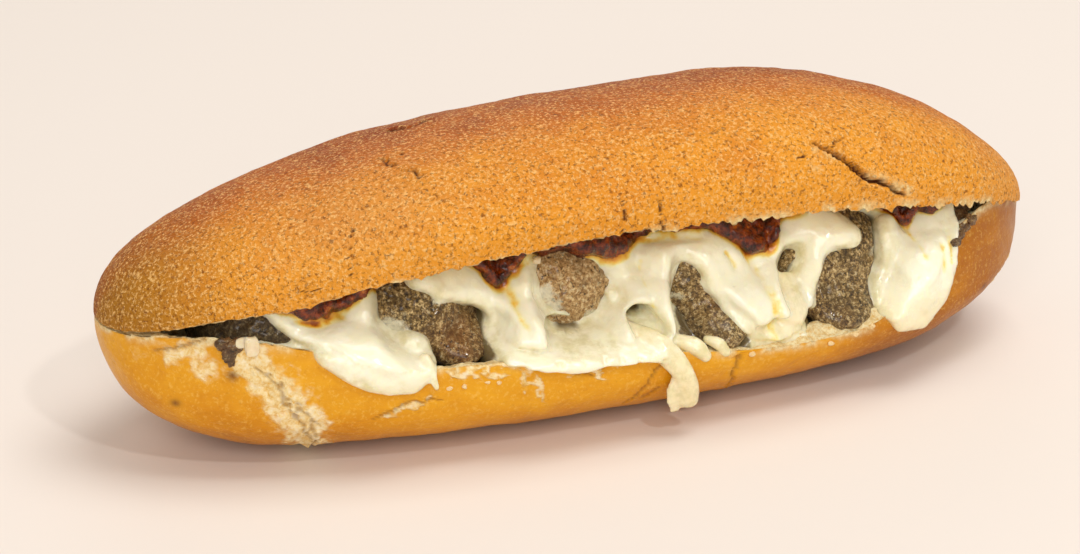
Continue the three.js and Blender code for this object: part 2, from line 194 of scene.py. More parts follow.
latticeSize = 32
lattice = np.random.default_rng(11).random((latticeSize, latticeSize, latticeSize))


def uneven(points, size, shift=0.0):
    # smooth random values between -1 and 1, with lumps of about that size in millimetres
    p = points / size + shift
    cell = np.floor(p).astype(int)
    t = p - cell
    t = t * t * (3 - 2 * t)
    total = np.zeros(len(p))
    for corner in np.ndindex(2, 2, 2):
        weight = np.prod(np.where(corner, t, 1 - t), axis=1)
        at = (cell + corner) % latticeSize
        total += weight * lattice[at[:, 0], at[:, 1], at[:, 2]]
    return total * 2 - 1


def rough(points, size, octaves, shift=0.0, fade=0.55):
    return sum(fade**i * uneven(points, size / 2**i, shift + 7.3 * i) for i in range(octaves))


def pebbles(points, size, shift=0.0):
    # distance to the nearest of randomly placed points, 0 at a point and about 1 between them
    p = points / size + shift
    cell = np.floor(p).astype(int)
    nearest = np.full(len(p), 9.0)
    for step in np.ndindex(3, 3, 3):
        at = cell + np.array(step) - 1
        k = at % latticeSize
        jitter = np.stack([lattice[k[:, 0], k[:, 1], k[:, 2]], lattice[k[:, 1], k[:, 2], k[:, 0]],
                           lattice[k[:, 2], k[:, 0], k[:, 1]]], axis=1)
        nearest = np.minimum(nearest, np.sum((at + jitter - p) ** 2, axis=1))
    return np.sqrt(nearest)


def scaled(line, degree):
    # degrees along a line's second axis as millimetres
    return [(x, angle * degree) for x, angle in line]


def distanceToLine(u, v, line):
    # how far (u, v) lies from a line through points, and how far along it, from 0 to 1
    best = np.full(np.shape(u), 1e6)
    along = np.zeros(np.shape(u))
    for i, ((u0, v0), (u1, v1)) in enumerate(zip(line[:-1], line[1:])):
        du, dv = u1 - u0, v1 - v0
        t = np.clip(((u - u0) * du + (v - v0) * dv) / (du * du + dv * dv), 0, 1)
        d = np.hypot(u - u0 - t * du, v - v0 - t * dv)
        along = np.where(d < best, (i + t) / (len(line) - 1), along)
        best = np.minimum(best, d)
    return best, along


def ballGrid(around, along):
    # a closed grid, like a globe: each vertex with its share round and its share from end to end
    bm = bmesh.new()
    bmesh.ops.create_grid(bm, x_segments=around, y_segments=along, size=0.5)
    share = readCorners(bm) + 0.5
    turn, fall = share[:, 0] * 2 * math.pi, share[:, 1] * math.pi
    moveTo(bm, np.stack([np.cos(turn) * np.sin(fall), np.sin(turn) * np.sin(fall), np.cos(fall)], axis=1))
    bmesh.ops.remove_doubles(bm, verts=[v for v in bm.verts if v.is_boundary], dist=1e-5)
    x, y, z = readCorners(bm).T
    return bm, (np.arctan2(y, x) / (2 * math.pi)) % 1, np.arccos(np.clip(z, -1, 1)) / math.pi


def isTip(end):
    return (end < 1e-4) | (end > 1 - 1e-4)


def readCorners(bm):
    return np.array([v.co for v in bm.verts])


def moveTo(bm, points):
    for vert, point in zip(bm.verts, points):
        vert.co = point


def readVectors(items, what):
    values = np.empty(len(items) * 3)
    items.foreach_get(what, values)
    return values.reshape(-1, 3)


def pointsOf(mesh):
    return readVectors(mesh.vertices, "co")


def normalsOf(mesh):
    return readVectors(mesh.vertex_normals, "vector")


def meshFrom(bm, name):
    bmesh.ops.recalc_face_normals(bm, faces=bm.faces)
    mesh = bpy.data.meshes.new(name)
    bm.to_mesh(mesh)
    bm.free()
    return mesh


def placed(name, data):
    item = bpy.data.objects.new(name, data)
    bpy.context.collection.objects.link(item)
    return item


def setPoints(mesh, points):
    mesh.vertices.foreach_set("co", np.ascontiguousarray(points, dtype=np.float32).ravel())
    mesh.update()


def paint(mesh, **layers):
    for name, values in layers.items():
        layer = mesh.attributes.new(name, "FLOAT", "POINT")
        layer.data.foreach_set("value", np.clip(values, 0, 1).astype(np.float32))


def finishPiece(mesh, name, material, slot, *nodes):
    # from roll millimetres to the frame's metres, shaded smooth, riding on the body
    co = pointsOf(mesh)
    co[:, 1] += middleY
    co[:, 2] = np.maximum(co[:, 2], 0)
    setPoints(mesh, co * mm)
    mesh.shade_smooth()
    piece = placed(name, mesh)
    mesh.materials.append(material)
    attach(piece, "root")
    if nodes:
        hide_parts(*nodes)
    print("made", name, len(mesh.polygons), "faces")
    return piece


class Sock:
    # a node's output that can be used in sums
    def __init__(self, finish, socket):
        self.finish, self.socket = finish, socket

    def math(self, operation, a, b):
        return self.finish.add("ShaderNodeMath", {"operation": operation}, {0: a, 1: b})

    def __add__(self, other):
        return self.math("ADD", self, other)

    def __sub__(self, other):
        return self.math("SUBTRACT", self, other)

    def __rsub__(self, other):
        return self.math("SUBTRACT", other, self)

    def __mul__(self, other):
        return self.math("MULTIPLY", self, other)

    __radd__, __rmul__ = __add__, __mul__


class Finish:
    # one material, made by adding nodes and then the shader
    def __init__(self, name):
        self.material = bpy.data.materials.new(name)
        self.material.use_nodes = True
        self.tree = self.material.node_tree
        self.tree.nodes.clear()
        self.where = self.add("ShaderNodeTexCoord", {}, {}, "Object")

    def add(self, kind, settings, values, out=0):
        node = self.tree.nodes.new(kind)
        for name, setting in settings.items():
            if name == "stops":
                ramp = node.color_ramp
                while len(ramp.elements) < len(setting):
                    ramp.elements.new(0.5)
                for element, (position, *colour) in zip(ramp.elements, setting):
                    element.position = position
                    element.color = srgb(*colour)
            else:
                setattr(node, name, setting)
        for name, value in values.items():
            if isinstance(value, Sock):
                self.tree.links.new(value.socket, node.inputs[name])
            else:
                node.inputs[name].default_value = value
        return Sock(self, node.outputs[out])

    def attributes(self, *names):
        return [self.add("ShaderNodeAttribute", {"attribute_name": name}, {}, "Fac") for name in names]

    def noise(self, size, detail=3, roughness=0.55, distortion=0, stretch=(1, 1, 1)):
        # size is in millimetres
        place = self.add("ShaderNodeMapping", {}, {"Vector": self.where, "Scale": stretch})
        values = {"Vector": place, "Scale": 1 / (size * mm), "Detail": detail,
                  "Roughness": roughness, "Distortion": distortion}
        return self.add("ShaderNodeTexNoise", {}, values, "Fac")

    def spread(self, value, low, high):
        # 0 below low, 1 above high
        values = {"Value": value, "From Min": low, "From Max": high}
        return self.add("ShaderNodeMapRange", {"interpolation_type": "SMOOTHSTEP"}, values, "Result")

    def blend(self, factor, a, b):
        return self.add("ShaderNodeMix", {"data_type": "RGBA"}, {0: factor, 6: a, 7: b}, 2)

    def layers(self, base, *coats):
        # each coat: how much of it, then its colour
        for factor, *colour in coats:
            base = self.blend(factor, base, srgb(*colour))
        return base

    def ramp(self, value, *stops):
        # each stop: position, then its colour
        return self.add("ShaderNodeValToRGB", {"stops": stops}, {"Fac": value}, "Color")

    def bump(self, height, strength, distance, normal=None):
        values = {"Height": height, "Strength": strength, "Distance": distance * mm}
        if normal is not None:
            values["Normal"] = normal
        return self.add("ShaderNodeBump", {}, values, "Normal")

    def shade(self, base, rough, normal, values):
        values = {"Base Color": base, "Roughness": rough, **values}
        if normal is not None:
            values["Normal"] = normal
        shader = self.add("ShaderNodeBsdfPrincipled", {}, values, "BSDF")
        out = self.tree.nodes.new("ShaderNodeOutputMaterial")
        self.tree.links.new(shader.socket, out.inputs["Surface"])
        return self.material


def srgb(r, g, b):
    # a colour given in 0 to 255, as the shader's linear values
    return tuple(((c / 255 + 0.055) / 1.055) ** 2.4 if c > 10 else c / 3295 for c in (r, g, b)) + (1,)


print("frame read, middle of the roll at", round(middleY, 2), "mm")


def crustTopFinish():
    f = Finish("crustTop")
    bake, olive, dust, crumb, crack = f.attributes("bake", "olive", "dust", "crumb", "crack")
    level = bake + (f.noise(14, 3, 0.5) - 0.5) * 0.5 + (f.noise(3.2, 4, 0.6) - 0.5) * 0.35
    base = f.ramp(level, (0.1, 240, 158, 44), (0.4, 222, 134, 38), (0.65, 196, 102, 26),
                  (0.95, 150, 60, 12))
    grains = f.spread(f.noise(0.8, 3, 0.75), 0.48, 0.66)
    pits = f.spread(f.noise(0.9, 3, 0.7, 0.4), 0.5, 0.7)
    base = f.layers(base, (olive * 0.75, 150, 100, 20), (dust * 0.45, 218, 148, 78),
                    (grains * 0.8, 254, 204, 128), (pits * 0.75, 112, 52, 14))
    crumbTone = f.ramp(f.noise(1.1, 4, 0.65), (0.3, 220, 164, 84), (0.65, 252, 230, 172))
    base = f.blend(crumb, base, crumbTone)
    # painted shade: darker brown down in the splits
    base = f.layers(base, (crack * f.spread(f.noise(1.6, 3, 0.6), 0.22, 0.5), 84, 36, 12))
    fine = f.bump(f.noise(0.8, 3, 0.75), 1.0, 0.8)
    normal = f.bump(f.noise(2.4, 3, 0.55), 0.4, 0.8, fine)
    rough = 0.62 + (f.noise(4, 2) - 0.5) * 0.2
    return f.shade(base, rough, normal, {"Specular IOR Level": 0.16})


def crustBottomFinish():
    f = Finish("crustBottom")
    bake, pale, crumb = f.attributes("bake", "pale", "crumb")
    crack, brown, spot = f.attributes("crack", "brown", "spot")
    streaks = f.noise(4, 4, 0.6, 0.5, (0.4, 1, 1))
    level = bake + (f.noise(15, 3, 0.5) - 0.5) * 0.6 + (streaks - 0.5) * 0.4
    base = f.ramp(level, (0.08, 242, 192, 66), (0.36, 230, 162, 20), (0.65, 212, 138, 2),
                  (0.95, 170, 98, 1))
    flecks = f.spread(f.noise(1.0, 4, 0.7), 0.5, 0.68)
    darker = f.spread(f.noise(1.2, 4, 0.7, 0.3), 0.55, 0.75)
    base = f.layers(base, (flecks * 0.3, 248, 208, 108), (darker * 0.25, 164, 90, 14),
                    (brown * 0.7, 160, 92, 16))
    flour = f.spread(pale * 1.35 + (f.noise(3.2, 5, 0.68, 1.4, (0.6, 1, 1)) - 0.5) * 1.5, 0.32, 1.25)
    flourTone = f.ramp(f.noise(1.5, 4, 0.7, 0.5), (0.3, 226, 176, 84), (0.5, 250, 226, 166),
                       (0.66, 255, 243, 208))
    base = f.blend(flour * 0.88, base, flourTone)
    crumbTone = f.ramp(f.noise(1.0, 4, 0.7), (0.3, 226, 178, 92), (0.6, 255, 238, 188))
    base = f.blend(crumb, base, crumbTone)
    # painted shade: darker in the splits
    base = f.layers(base, (crack * 0.8, 134, 84, 24), (spot * 0.85, 104, 54, 18))
    fine = f.bump(f.noise(0.7, 3, 0.65), 0.35, 0.35)
    wrinkles = f.bump(f.noise(3.0, 4, 0.6, 0.8, (0.5, 1, 1)), 0.4, 0.8, fine)
    pores = f.bump(f.noise(0.9, 4, 0.7) * (crumb + flour * 0.5), 0.9, 0.9, wrinkles)
    rough = 0.38 + (f.noise(5, 3) - 0.5) * 0.25 + (crumb + flour) * 0.25
    return f.shade(base, rough, pores, {"Specular IOR Level": 0.3})


def meatFinish():
    f = Finish("meat")
    dark, warm, light, veil = f.attributes("dark", "warm", "light", "veil")
    grain = f.noise(1.0, 5, 0.8)
    base = f.ramp(grain, (0.39, 36, 24, 8), (0.45, 98, 74, 32), (0.53, 154, 120, 56), (0.61, 246, 218, 156))
    # lighter tone: random pale patches, and painted light over the third meatball from the left
    paleAndLitTone = f.ramp(grain, (0.4, 156, 112, 60), (0.5, 220, 172, 104), (0.6, 252, 226, 172))
    base = f.blend(light * 0.8, base, paleAndLitTone)
    patches = f.spread(f.noise(4.5, 3, 0.6), 0.5, 0.72)
    specks = f.spread(f.noise(0.9, 2, 0.6, 0.4), 0.6, 0.68)
    # painted highlights: pale specks standing in for glints on the wet meat
    glintSpecks = f.spread(f.noise(1.1, 3, 0.6, 0.5), 0.6, 0.68)
    # pale cheese layer on the meat, which on the fifth meatball's right edge is a painted highlight
    filmAndHighlight = f.spread(veil * 1.3 + (f.noise(1.5, 5, 0.75, 0.4) - 0.5) * 2.4, 0.5, 1.2)
    # the darkest layer is painted shade under the meatballs and in their hollows, and darker tone on the
    # left-end meatball and the loose crumbs
    base = f.layers(base, (patches * 0.5, 92, 70, 30), (warm * 0.55, 170, 104, 44),
                    (specks * 0.85, 30, 20, 8), (glintSpecks * 0.7, 240, 222, 176), (dark * 0.7, 46, 32, 12),
                    (filmAndHighlight * 0.8, 252, 246, 214))
    fine = f.bump(f.noise(0.6, 4, 0.75), 1.0, 0.8)
    normal = f.bump(f.noise(1.8, 4, 0.65), 0.6, 0.9, fine)
    rough = 0.28 + f.noise(1.5, 3) * 0.4
    return f.shade(base, rough, normal,
                   {"Specular IOR Level": 0.55, "Coat Weight": 0.35, "Coat Roughness": 0.12})


def cheeseFinish():
    f = Finish("meltedCheese")
    oil, thin, hem, deep = f.attributes("oil", "thin", "hem", "deep")
    base = f.blend(f.noise(6, 3, 0.5), srgb(252, 244, 206), srgb(253, 249, 228))
    base = f.layers(base, (hem * 0.6, 250, 228, 176),
                    (thin * f.spread(f.noise(3, 3, 0.6), 0.3, 0.7) * 0.7, 214, 202, 142))
    stain = f.ramp(oil + (f.noise(2.2, 4, 0.65, 0.6) - 0.5) * 0.5, (0.12, 251, 244, 214),
                   (0.36, 250, 234, 160), (0.58, 246, 202, 84), (0.8, 226, 148, 36), (0.98, 160, 78, 18))
    base = f.blend(f.spread(oil, 0.04, 0.5), base, stain)
    # painted shade in the sheet's caves and slits
    base = f.layers(base, (deep * 0.9, 84, 62, 18))
    fine = f.bump(f.noise(1.3, 3, 0.55), 0.22, 0.5)
    normal = f.bump(f.noise(5, 3, 0.5, 0.6), 0.35, 1.0, fine)
    rough = 0.14 + f.noise(3.5, 3) * 0.22
    return f.shade(base, rough, normal,
                   {"Coat Weight": 0.3, "Coat Roughness": 0.1, "Subsurface Weight": 0.3,
                    "Subsurface Radius": (0.0032, 0.0022, 0.001), "Subsurface Scale": 1.0})


def sauceFinish():
    f = Finish("tomatoSauce")
    base = f.ramp(f.noise(2.2, 4, 0.6), (0.3, 34, 8, 2), (0.46, 88, 26, 4), (0.6, 150, 62, 8),
                  (0.74, 212, 122, 34))
    base = f.layers(base, (f.spread(f.noise(0.9, 2, 0.5), 0.6, 0.68) * 0.7, 26, 9, 5))
    fine = f.bump(f.noise(0.9, 3, 0.65), 0.9, 0.8)
    normal = f.bump(f.noise(2.5, 3, 0.6), 0.6, 1.4, fine)
    rough = 0.08 + f.noise(1.8, 3) * 0.2
    return f.shade(base, rough, normal,
                   {"Specular IOR Level": 0.3, "Coat Weight": 0.45, "Coat Roughness": 0.02})


# fields round the row of meatballs: one value for each place along it and each angle
fieldX = np.arange(-94, 100.01, 0.5)
fieldAngle = np.arange(-30, 330.01, 0.75)        # 0 is the back, 90 up, 180 the front
gridX, gridAngle = np.meshgrid(fieldX, fieldAngle, indexing="ij")
gridPoints = np.stack([gridX.ravel(), gridAngle.ravel() * row["degree"], np.zeros(gridX.size)], axis=1)


def hemCover(look):
    # millimetres inside both hems, negative outside them
    front = curveThrough(look["hemFront"])(gridX) - gridAngle
    back = gridAngle - curveThrough(look["hemBack"])(gridX)
    return np.minimum(front * row["degree"], back * row["degree"])


def unevenField(size, shift, octaves=1):
    return rough(gridPoints, size, octaves, shift).reshape(gridX.shape)


def sample(field, x, angle):
    u = np.clip((x - fieldX[0]) / (fieldX[1] - fieldX[0]), 0, len(fieldX) - 1.001)
    v = np.clip((angle - fieldAngle[0]) / (fieldAngle[1] - fieldAngle[0]), 0, len(fieldAngle) - 1.001)
    i, j = u.astype(int), v.astype(int)
    u, v = u - i, v - j
    low = field[i, j] * (1 - u) + field[i + 1, j] * u
    high = field[i, j + 1] * (1 - u) + field[i + 1, j + 1] * u
    return low * (1 - v) + high * v


def ballReach(stretch):
    turn = np.radians(gridAngle)
    reach = np.zeros(gridX.shape)
    for centre, half in row["balls"]:
        part = 1 - ((gridX - centre[0]) / (half[0] + stretch)) ** 2
        dirY, dirZ = np.cos(turn) / half[1], np.sin(turn) / half[2]
        offY, offZ = (row["y"] - centre[1]) / half[1], (row["z"] - centre[2]) / half[2]
        a = dirY**2 + dirZ**2
        b = offY * dirY + offZ * dirZ
        inside = b * b - a * (offY**2 + offZ**2 - part)
        far = (np.sqrt(np.maximum(inside, 0)) - b) / a
        reach = np.maximum(reach, np.where((inside > 0) & (part > 0), far, 0))
    return reach + bulge(gridX, gridAngle) * (reach > 0)


def bulge(x, angle):
    around = angle * row["degree"]
    return sum(height * bell((x - at) / size) * bell((around - turn * row["degree"]) / size * 2)
               for at, turn, size, height in row["bulges"])


def breadReach():
    reach = np.zeros(gridX.shape)
    turn = np.radians(gridAngle)
    front, back = -lowHalfWidth(gridX, lowFront(gridX)), lowHalfWidth(gridX, lowBack(gridX))
    for far in np.arange(3, 54, 0.6):
        y, z = row["y"] + far * np.cos(turn), row["z"] + far * np.sin(turn)
        across = np.clip((y - front) / np.maximum(back - front, 1e-6), 0, 1)
        inside = (z > 0) & (np.abs(y) < lowHalfWidth(gridX, z)) & (z < crumbLevel(gridX, across))
        reach = np.where(inside, far, reach)
    return reach


def slopeReach(rim, fall, side):
    # the sheet slopes from the row to a rim, side -1 for the front and 1 for the back
    rimZ = rim(gridX)
    rimY = side * lowHalfWidth(gridX, rimZ)
    rimAngle = np.degrees(np.arctan2(rimZ - row["z"], rimY - row["y"]))
    rimAngle = np.where((side < 0) & (rimAngle < 0), rimAngle + 360, rimAngle)
    above = np.where(side < 0, rimAngle - gridAngle, gridAngle - rimAngle)
    reach = np.hypot(rimY - row["y"], rimZ - row["z"]) - fall * above
    return np.where(above < 0, 0, reach)


bare = breadReach()
ballField = ballReach(0)
rowReach = np.maximum(ballField, bare)
skinReach = highest(ballReach(1.2), ballReach(12) * 0.9, bare, slopeReach(lowFront, 2.2, -1))
drape = highest(ballReach(row["stretch"]), bare, slopeReach(lowFront, 0.45, -1),
                slopeReach(lowBack, 1.1, 1))
print("fields ready", gridX.shape)


def rising(cover, full, low):
    t = np.clip(0.12 + cover / row["edge"], 0, 1)
    return mix(low, full, np.sqrt(1 - (1 - t) ** 2))


cheeseLook = {
    "hemFront": [
        (-86, 140), (-80, 164), (-75, 175), (-70, 182), (-66, 188), (-61, 193), (-57, 195.5),
        (-53, 196), (-49, 194), (-46, 190), (-30, 190.5), (-18, 192.5), (-3, 194), (8, 196.5),
        (20, 199), (28, 198), (34, 199.5), (41, 200.5), (46, 201), (60, 204), (66, 205), (72, 209.5),
        (77, 209.5), (81, 204), (84, 195), (86.6, 184), (87.4, 172), (89.4, 160), (88.8, 150),
        (92, 138),
    ],
    "hemBack": [
        (-86, 45), (-76, 12), (-64, -9), (-50, -4), (-36, -12), (-20, -5), (-4, -8), (10, -3),
        (24, -14), (38, -6), (52, -4), (64, -13), (78, -5), (88, 20), (94, 45),
    ],
    # windows to the meat, as outlines of (along the row, degrees round it)
    "windows": [
        [(-56.4, 139), (-51, 138), (-47.4, 143), (-45.4, 154), (-44.5, 161), (-41.7, 162), (-38.2, 163),
         (-34, 168), (-31.2, 177), (-33, 186), (-34.8, 194), (-35.4, 216), (-47.5, 216), (-48.3, 190),
         (-50.6, 183), (-53, 178), (-55.4, 173), (-56.8, 165), (-57, 152)],
        [(-17.1, 138), (-13, 137), (-9.6, 142), (-5.6, 146), (-2.8, 151), (-1.4, 159), (-1, 168),
         (-1.8, 176), (-4, 180), (-6.4, 185.5), (-9, 186), (-11.1, 183), (-13.5, 180), (-16, 177),
         (-17.8, 172), (-18.4, 164), (-18.4, 154), (-18.1, 146)],
        [(-17.6, 182.4), (-15, 182), (-12, 184.6), (-9.4, 188), (-11, 190), (-14.6, 189.6),
         (-17.2, 187)],
        [(16.6, 158), (18.4, 157), (20, 162), (21, 169), (19.4, 173), (19.6, 176), (21, 181),
         (23.6, 188), (27.4, 197), (28, 203), (25, 206), (20.5, 205), (17, 204), (14.6, 198),
         (13.9, 190), (14, 179), (15, 168)],
        [(43, 170), (44.6, 161.5), (47.6, 161.5), (48, 168), (46.6, 177), (45.4, 188), (44, 193),
         (42.6, 182)],
        [(58.6, 136), (64, 135), (69, 141), (69.2, 153), (69, 165), (67.6, 174), (67.8, 186),
         (65.2, 192), (64, 199), (63.4, 218), (46.4, 218), (47, 205), (49.4, 198), (50.4, 190),
         (51.3, 180), (52.4, 171.5), (54, 168), (56.5, 166), (59.5, 164), (61.6, 160), (62.6, 156),
         (62.4, 151), (60.8, 145)],
    ],
    # gaps in the sheet where it spans from one meatball to the next
    "slits": [[(1, 184.5), (2.6, 181.4), (5.2, 184), (7.2, 190), (5, 191.6), (1.8, 190)]],
    # ropes lying on the meat and the rim: points, half-width and thickness in millimetres
    "ropes": [
        ([(-70.5, 178), (-66.5, 184.5), (-63, 188), (-58, 190.5), (-54, 190), (-51.2, 186)], 4.4, 3.6),
        ([(-47.2, 142), (-42.5, 151), (-38, 156), (-33.5, 160), (-29.8, 168), (-28.2, 180),
          (-30, 187)], 3.0, 2.8),
        ([(-31, 188), (-26, 191), (-17, 193.4), (-8, 194), (0, 194.4), (6, 195)], 1.6, 4.6),
        ([(9.8, 176), (10, 184), (9, 191)], 2.4, 5.0),
        ([(28.6, 190), (31.4, 196), (37, 198), (43, 197.6), (46, 192)], 2.0, 3.6),
        ([(-1.2, 172), (-1.0, 182), (0, 190)], 1.7, 2.2),
        ([(15.2, 149), (18.6, 151), (21.4, 157), (23.4, 165), (24.4, 176), (27, 185), (30, 191),
          (31, 193)], 3.4, 3.0),
        ([(46.4, 141), (49, 148), (52.6, 152), (57, 156), (58.8, 157)], 3.7, 3.0),
        ([(49.6, 158), (49.2, 168), (48, 178), (46.8, 188), (45.4, 193), (44.4, 195.5)], 2.6, 2.8),
        ([(72, 150), (71.6, 170), (70.6, 187), (67.8, 196.5), (70, 203), (76, 205), (81, 198),
          (83.4, 185)], 3.6, 3.4),
    ],
    # soft swellings of the sheet: points, half-width, height
    "ridges": [
        ([(11, 152), (10.8, 172), (10.6, 190), (9, 198)], 4.0, 1.8),
        ([(40, 158), (40.6, 190)], 3.4, 1.8),
        ([(-23.5, 160), (-23.4, 186)], 3.0, 1.3),
        ([(-66, 170), (-62, 184), (-57, 188)], 6, 1.6),
        ([(77, 170), (76, 195)], 5, 1.6),
    ],
    "creases": [
        ([(-26.4, 146), (-26.2, 160), (-25.8, 178)], 1.1),
        ([(7, 152), (5.8, 166), (6.6, 180)], 0.8),
        ([(32.4, 158), (33.8, 168), (36.6, 186), (35.4, 202)], 1.3),
        ([(26.6, 156), (28.6, 166)], 0.7),
        ([(76, 158), (77.2, 178)], 0.9),
        ([(82.4, 172), (81.2, 186)], 0.9),
        ([(85, 165), (83.8, 182)], 0.8),
        ([(-66, 160), (-72, 163), (-77, 158)], 1.0),
        ([(9.4, 138), (14, 141), (21, 145)], 1.2),
        ([(-19.5, 141), (-22.5, 144), (-24.6, 150)], 1.2),
    ],
    # drips and tongues: half-widths, path, thickness
    "runs": [
        ([3.2, 3.2, 2.7, 2.3, 2.9], [(0, -31, 24), (6, -37.2, 21.8), (10.4, -40.1, 16.4),
         (12.2, -40, 12), (11.8, -39.4, 8.6)], 1.9),
        ([1.5, 2.3, 1.7], [(9.4, -39.4, 15), (8.6, -40, 11), (9, -39.3, 7.2)], 0.7),
        ([1.8, 2.1, 1.6], [(12, -35, 21.8), (14.8, -37.4, 20.8), (16.8, -38.4, 18.6)], 1.8),
        ([1.2, 1.5, 1.3], [(19, -35.4, 21), (20.8, -37, 20.4), (22.2, -37.8, 18.6)], 1.4),
        ([3.6, 4.2, 3.4], [(43, -26, 29), (42.2, -31, 24), (41.4, -33, 21.8)], 1.7),
        ([1.3, 1.2, 0.8], [(-49.8, -34, 27), (-49.2, -36.4, 24.6), (-48.6, -37.2, 21.8)], 1.0),
        ([3.4, 2.8, 2.8], [(-37, 31, 28), (-38.5, 38.6, 24), (-38.4, 40, 18), (-38, 39.6, 12)], 1.9),
        ([3.2, 2.6, 2.4, 2.8], [(25, 31, 28), (23.5, 38.8, 23), (24.5, 40.2, 16), (24, 39, 9)], 1.9),
    ],
    "hug": 4.8,            # how far from a window the sheet thickens to its full depth
    "slitHug": 1.6,
    "creaseDepth": 1.1,
    "wave": 0.18,
    "ropeFall": 40,        # how steeply a rope's side drops, for each half-width past its edge
    "edgeThickness": 0.9,
    "around": 560,
    "along": 420,
    "smoothing": 4,
    "voxel": 0.56,
    "triangles": 190000,
}


def outsideOf(outline):
    # millimetres outside a closed outline on the grid, negative inside it
    points = scaled(outline, row["degree"])
    v = gridAngle * row["degree"]
    away, _ = distanceToLine(gridX, v, points + points[:1])
    inside = np.zeros(gridX.shape, bool)
    for (u0, v0), (u1, v1) in zip(points, points[1:] + points[:1]):
        crosses = (v0 > v) != (v1 > v)
        inside ^= crosses & (gridX < u0 + (v - v0) * (u1 - u0) / (v1 - v0 if v1 != v0 else 1))
    return np.where(inside, -away, away)


def outsideAll(outlines):
    return np.minimum.reduce([outsideOf(outline) for outline in outlines])


def buildCheeseField():
    look = cheeseLook
    ripple = unevenField(7, 3.1, 2) * 1.2 + unevenField(2.5, 9.4) * 0.35
    cover = hemCover(look) + ripple * 0.6
    fromWindow = outsideAll(look["windows"]) + ripple * 0.3
    fromSlit = outsideAll(look["slits"]) + ripple * 0.2
    opening = np.minimum(fromWindow, fromSlit)
    cover = np.minimum(cover, opening)
    hug = np.minimum(fromWindow / look["hug"], fromSlit / look["slitHug"])
    v = gridAngle * row["degree"]

    def lineAway(line):
        away, _ = distanceToLine(gridX, v, scaled(line, row["degree"]))
        return away + ripple * 0.25

    relief = unevenField(9, 1.7, 2) * 0.5
    for line, width, height in look["ridges"]:
        relief += height * bell(lineAway(line) / width)
    crease = np.zeros(gridX.shape)
    for line, width in look["creases"]:
        crease = np.maximum(crease, bell(lineAway(line) / width))
    full = drape + row["cheese"] + relief - crease * look["creaseDepth"]
    full = mix(skinReach + look["edgeThickness"], full, smoothStep(hug, 0, 1))
    low = mix(np.maximum(ballField, 9), rowReach, smoothStep(fromWindow, -0.4, 0.6)) - row["buried"]
    reach = rising(cover, full, low)
    rope = np.zeros(gridX.shape)
    for line, width, thickness in look["ropes"]:
        across = lineAway(line) / width
        arch = thickness * np.sqrt(np.maximum(0, 1 - across**2))
        here = skinReach + arch - look["ropeFall"] * np.maximum(0, across - 1)
        reach = np.maximum(reach, np.maximum(here, 1))
        rope = np.maximum(rope, 1 - across)
    return np.maximum(cover, rope * 3), opening, crease, reach


sauceLook = {
    "hemFront": [
        (-90, 128), (-80, 150), (-73, 162), (-66, 157), (-61, 150), (-56, 144), (-46, 140), (-38, 137),
        (-34, 142), (-29, 159), (-24, 146), (-19, 139), (-11, 142), (-4, 149), (3, 148), (9, 135),
        (15, 138), (22, 141), (28, 148), (32.4, 160), (37, 163), (41, 156), (43, 141), (49, 137),
        (62, 137), (70, 139), (74, 155), (76.4, 162), (79, 150), (82.5, 150), (86, 147), (94, 128),
    ],
    "hemBack": [
        (-90, 55), (-78, 20), (-60, 11), (-44, 12), (-30, 0), (-14, 11), (2, 13), (20, 1), (36, 10),
        (46, 1), (58, 13), (74, 8), (84, 24), (94, 55),
    ],
    "around": 240,
    "along": 400,
}


def buildSauceField():
    cover = hemCover(sauceLook) + unevenField(4, 5.2, 2) * 0.9
    lumps = unevenField(3.2, 8.8, 2) * 0.9
    low = np.maximum(ballField, 9) - row["buried"]
    return cover, rising(cover, drape + row["cheese"] + row["sauce"] + lumps, low)


def atRow(x, turn, far):
    # points at a distance from the row's line, in the direction of the turn
    return np.stack([x, row["y"] + far * np.cos(turn), row["z"] + far * np.sin(turn)], axis=-1)


def rowLoft(reach, around, along):
    # a closed skin at the field's reach from the row's line, drawn in under the meat
    bm, aroundShare, end = ballGrid(around, along)
    x = mix(row["start"], row["end"], end)
    angle = fieldAngle[0] + 360 * aroundShare
    hidden = smoothStep(angle, *row["coreStart"]) * (1 - smoothStep(angle, *row["coreEnd"]))
    far = mix(sample(reach, x, angle), row["core"], hidden * smoothStep(94 - np.abs(x), 0, 6))
    far = np.maximum(far, 1) * np.where(isTip(end), 0.02, 1)
    moveTo(bm, atRow(x, np.radians(angle), far))
    return bm


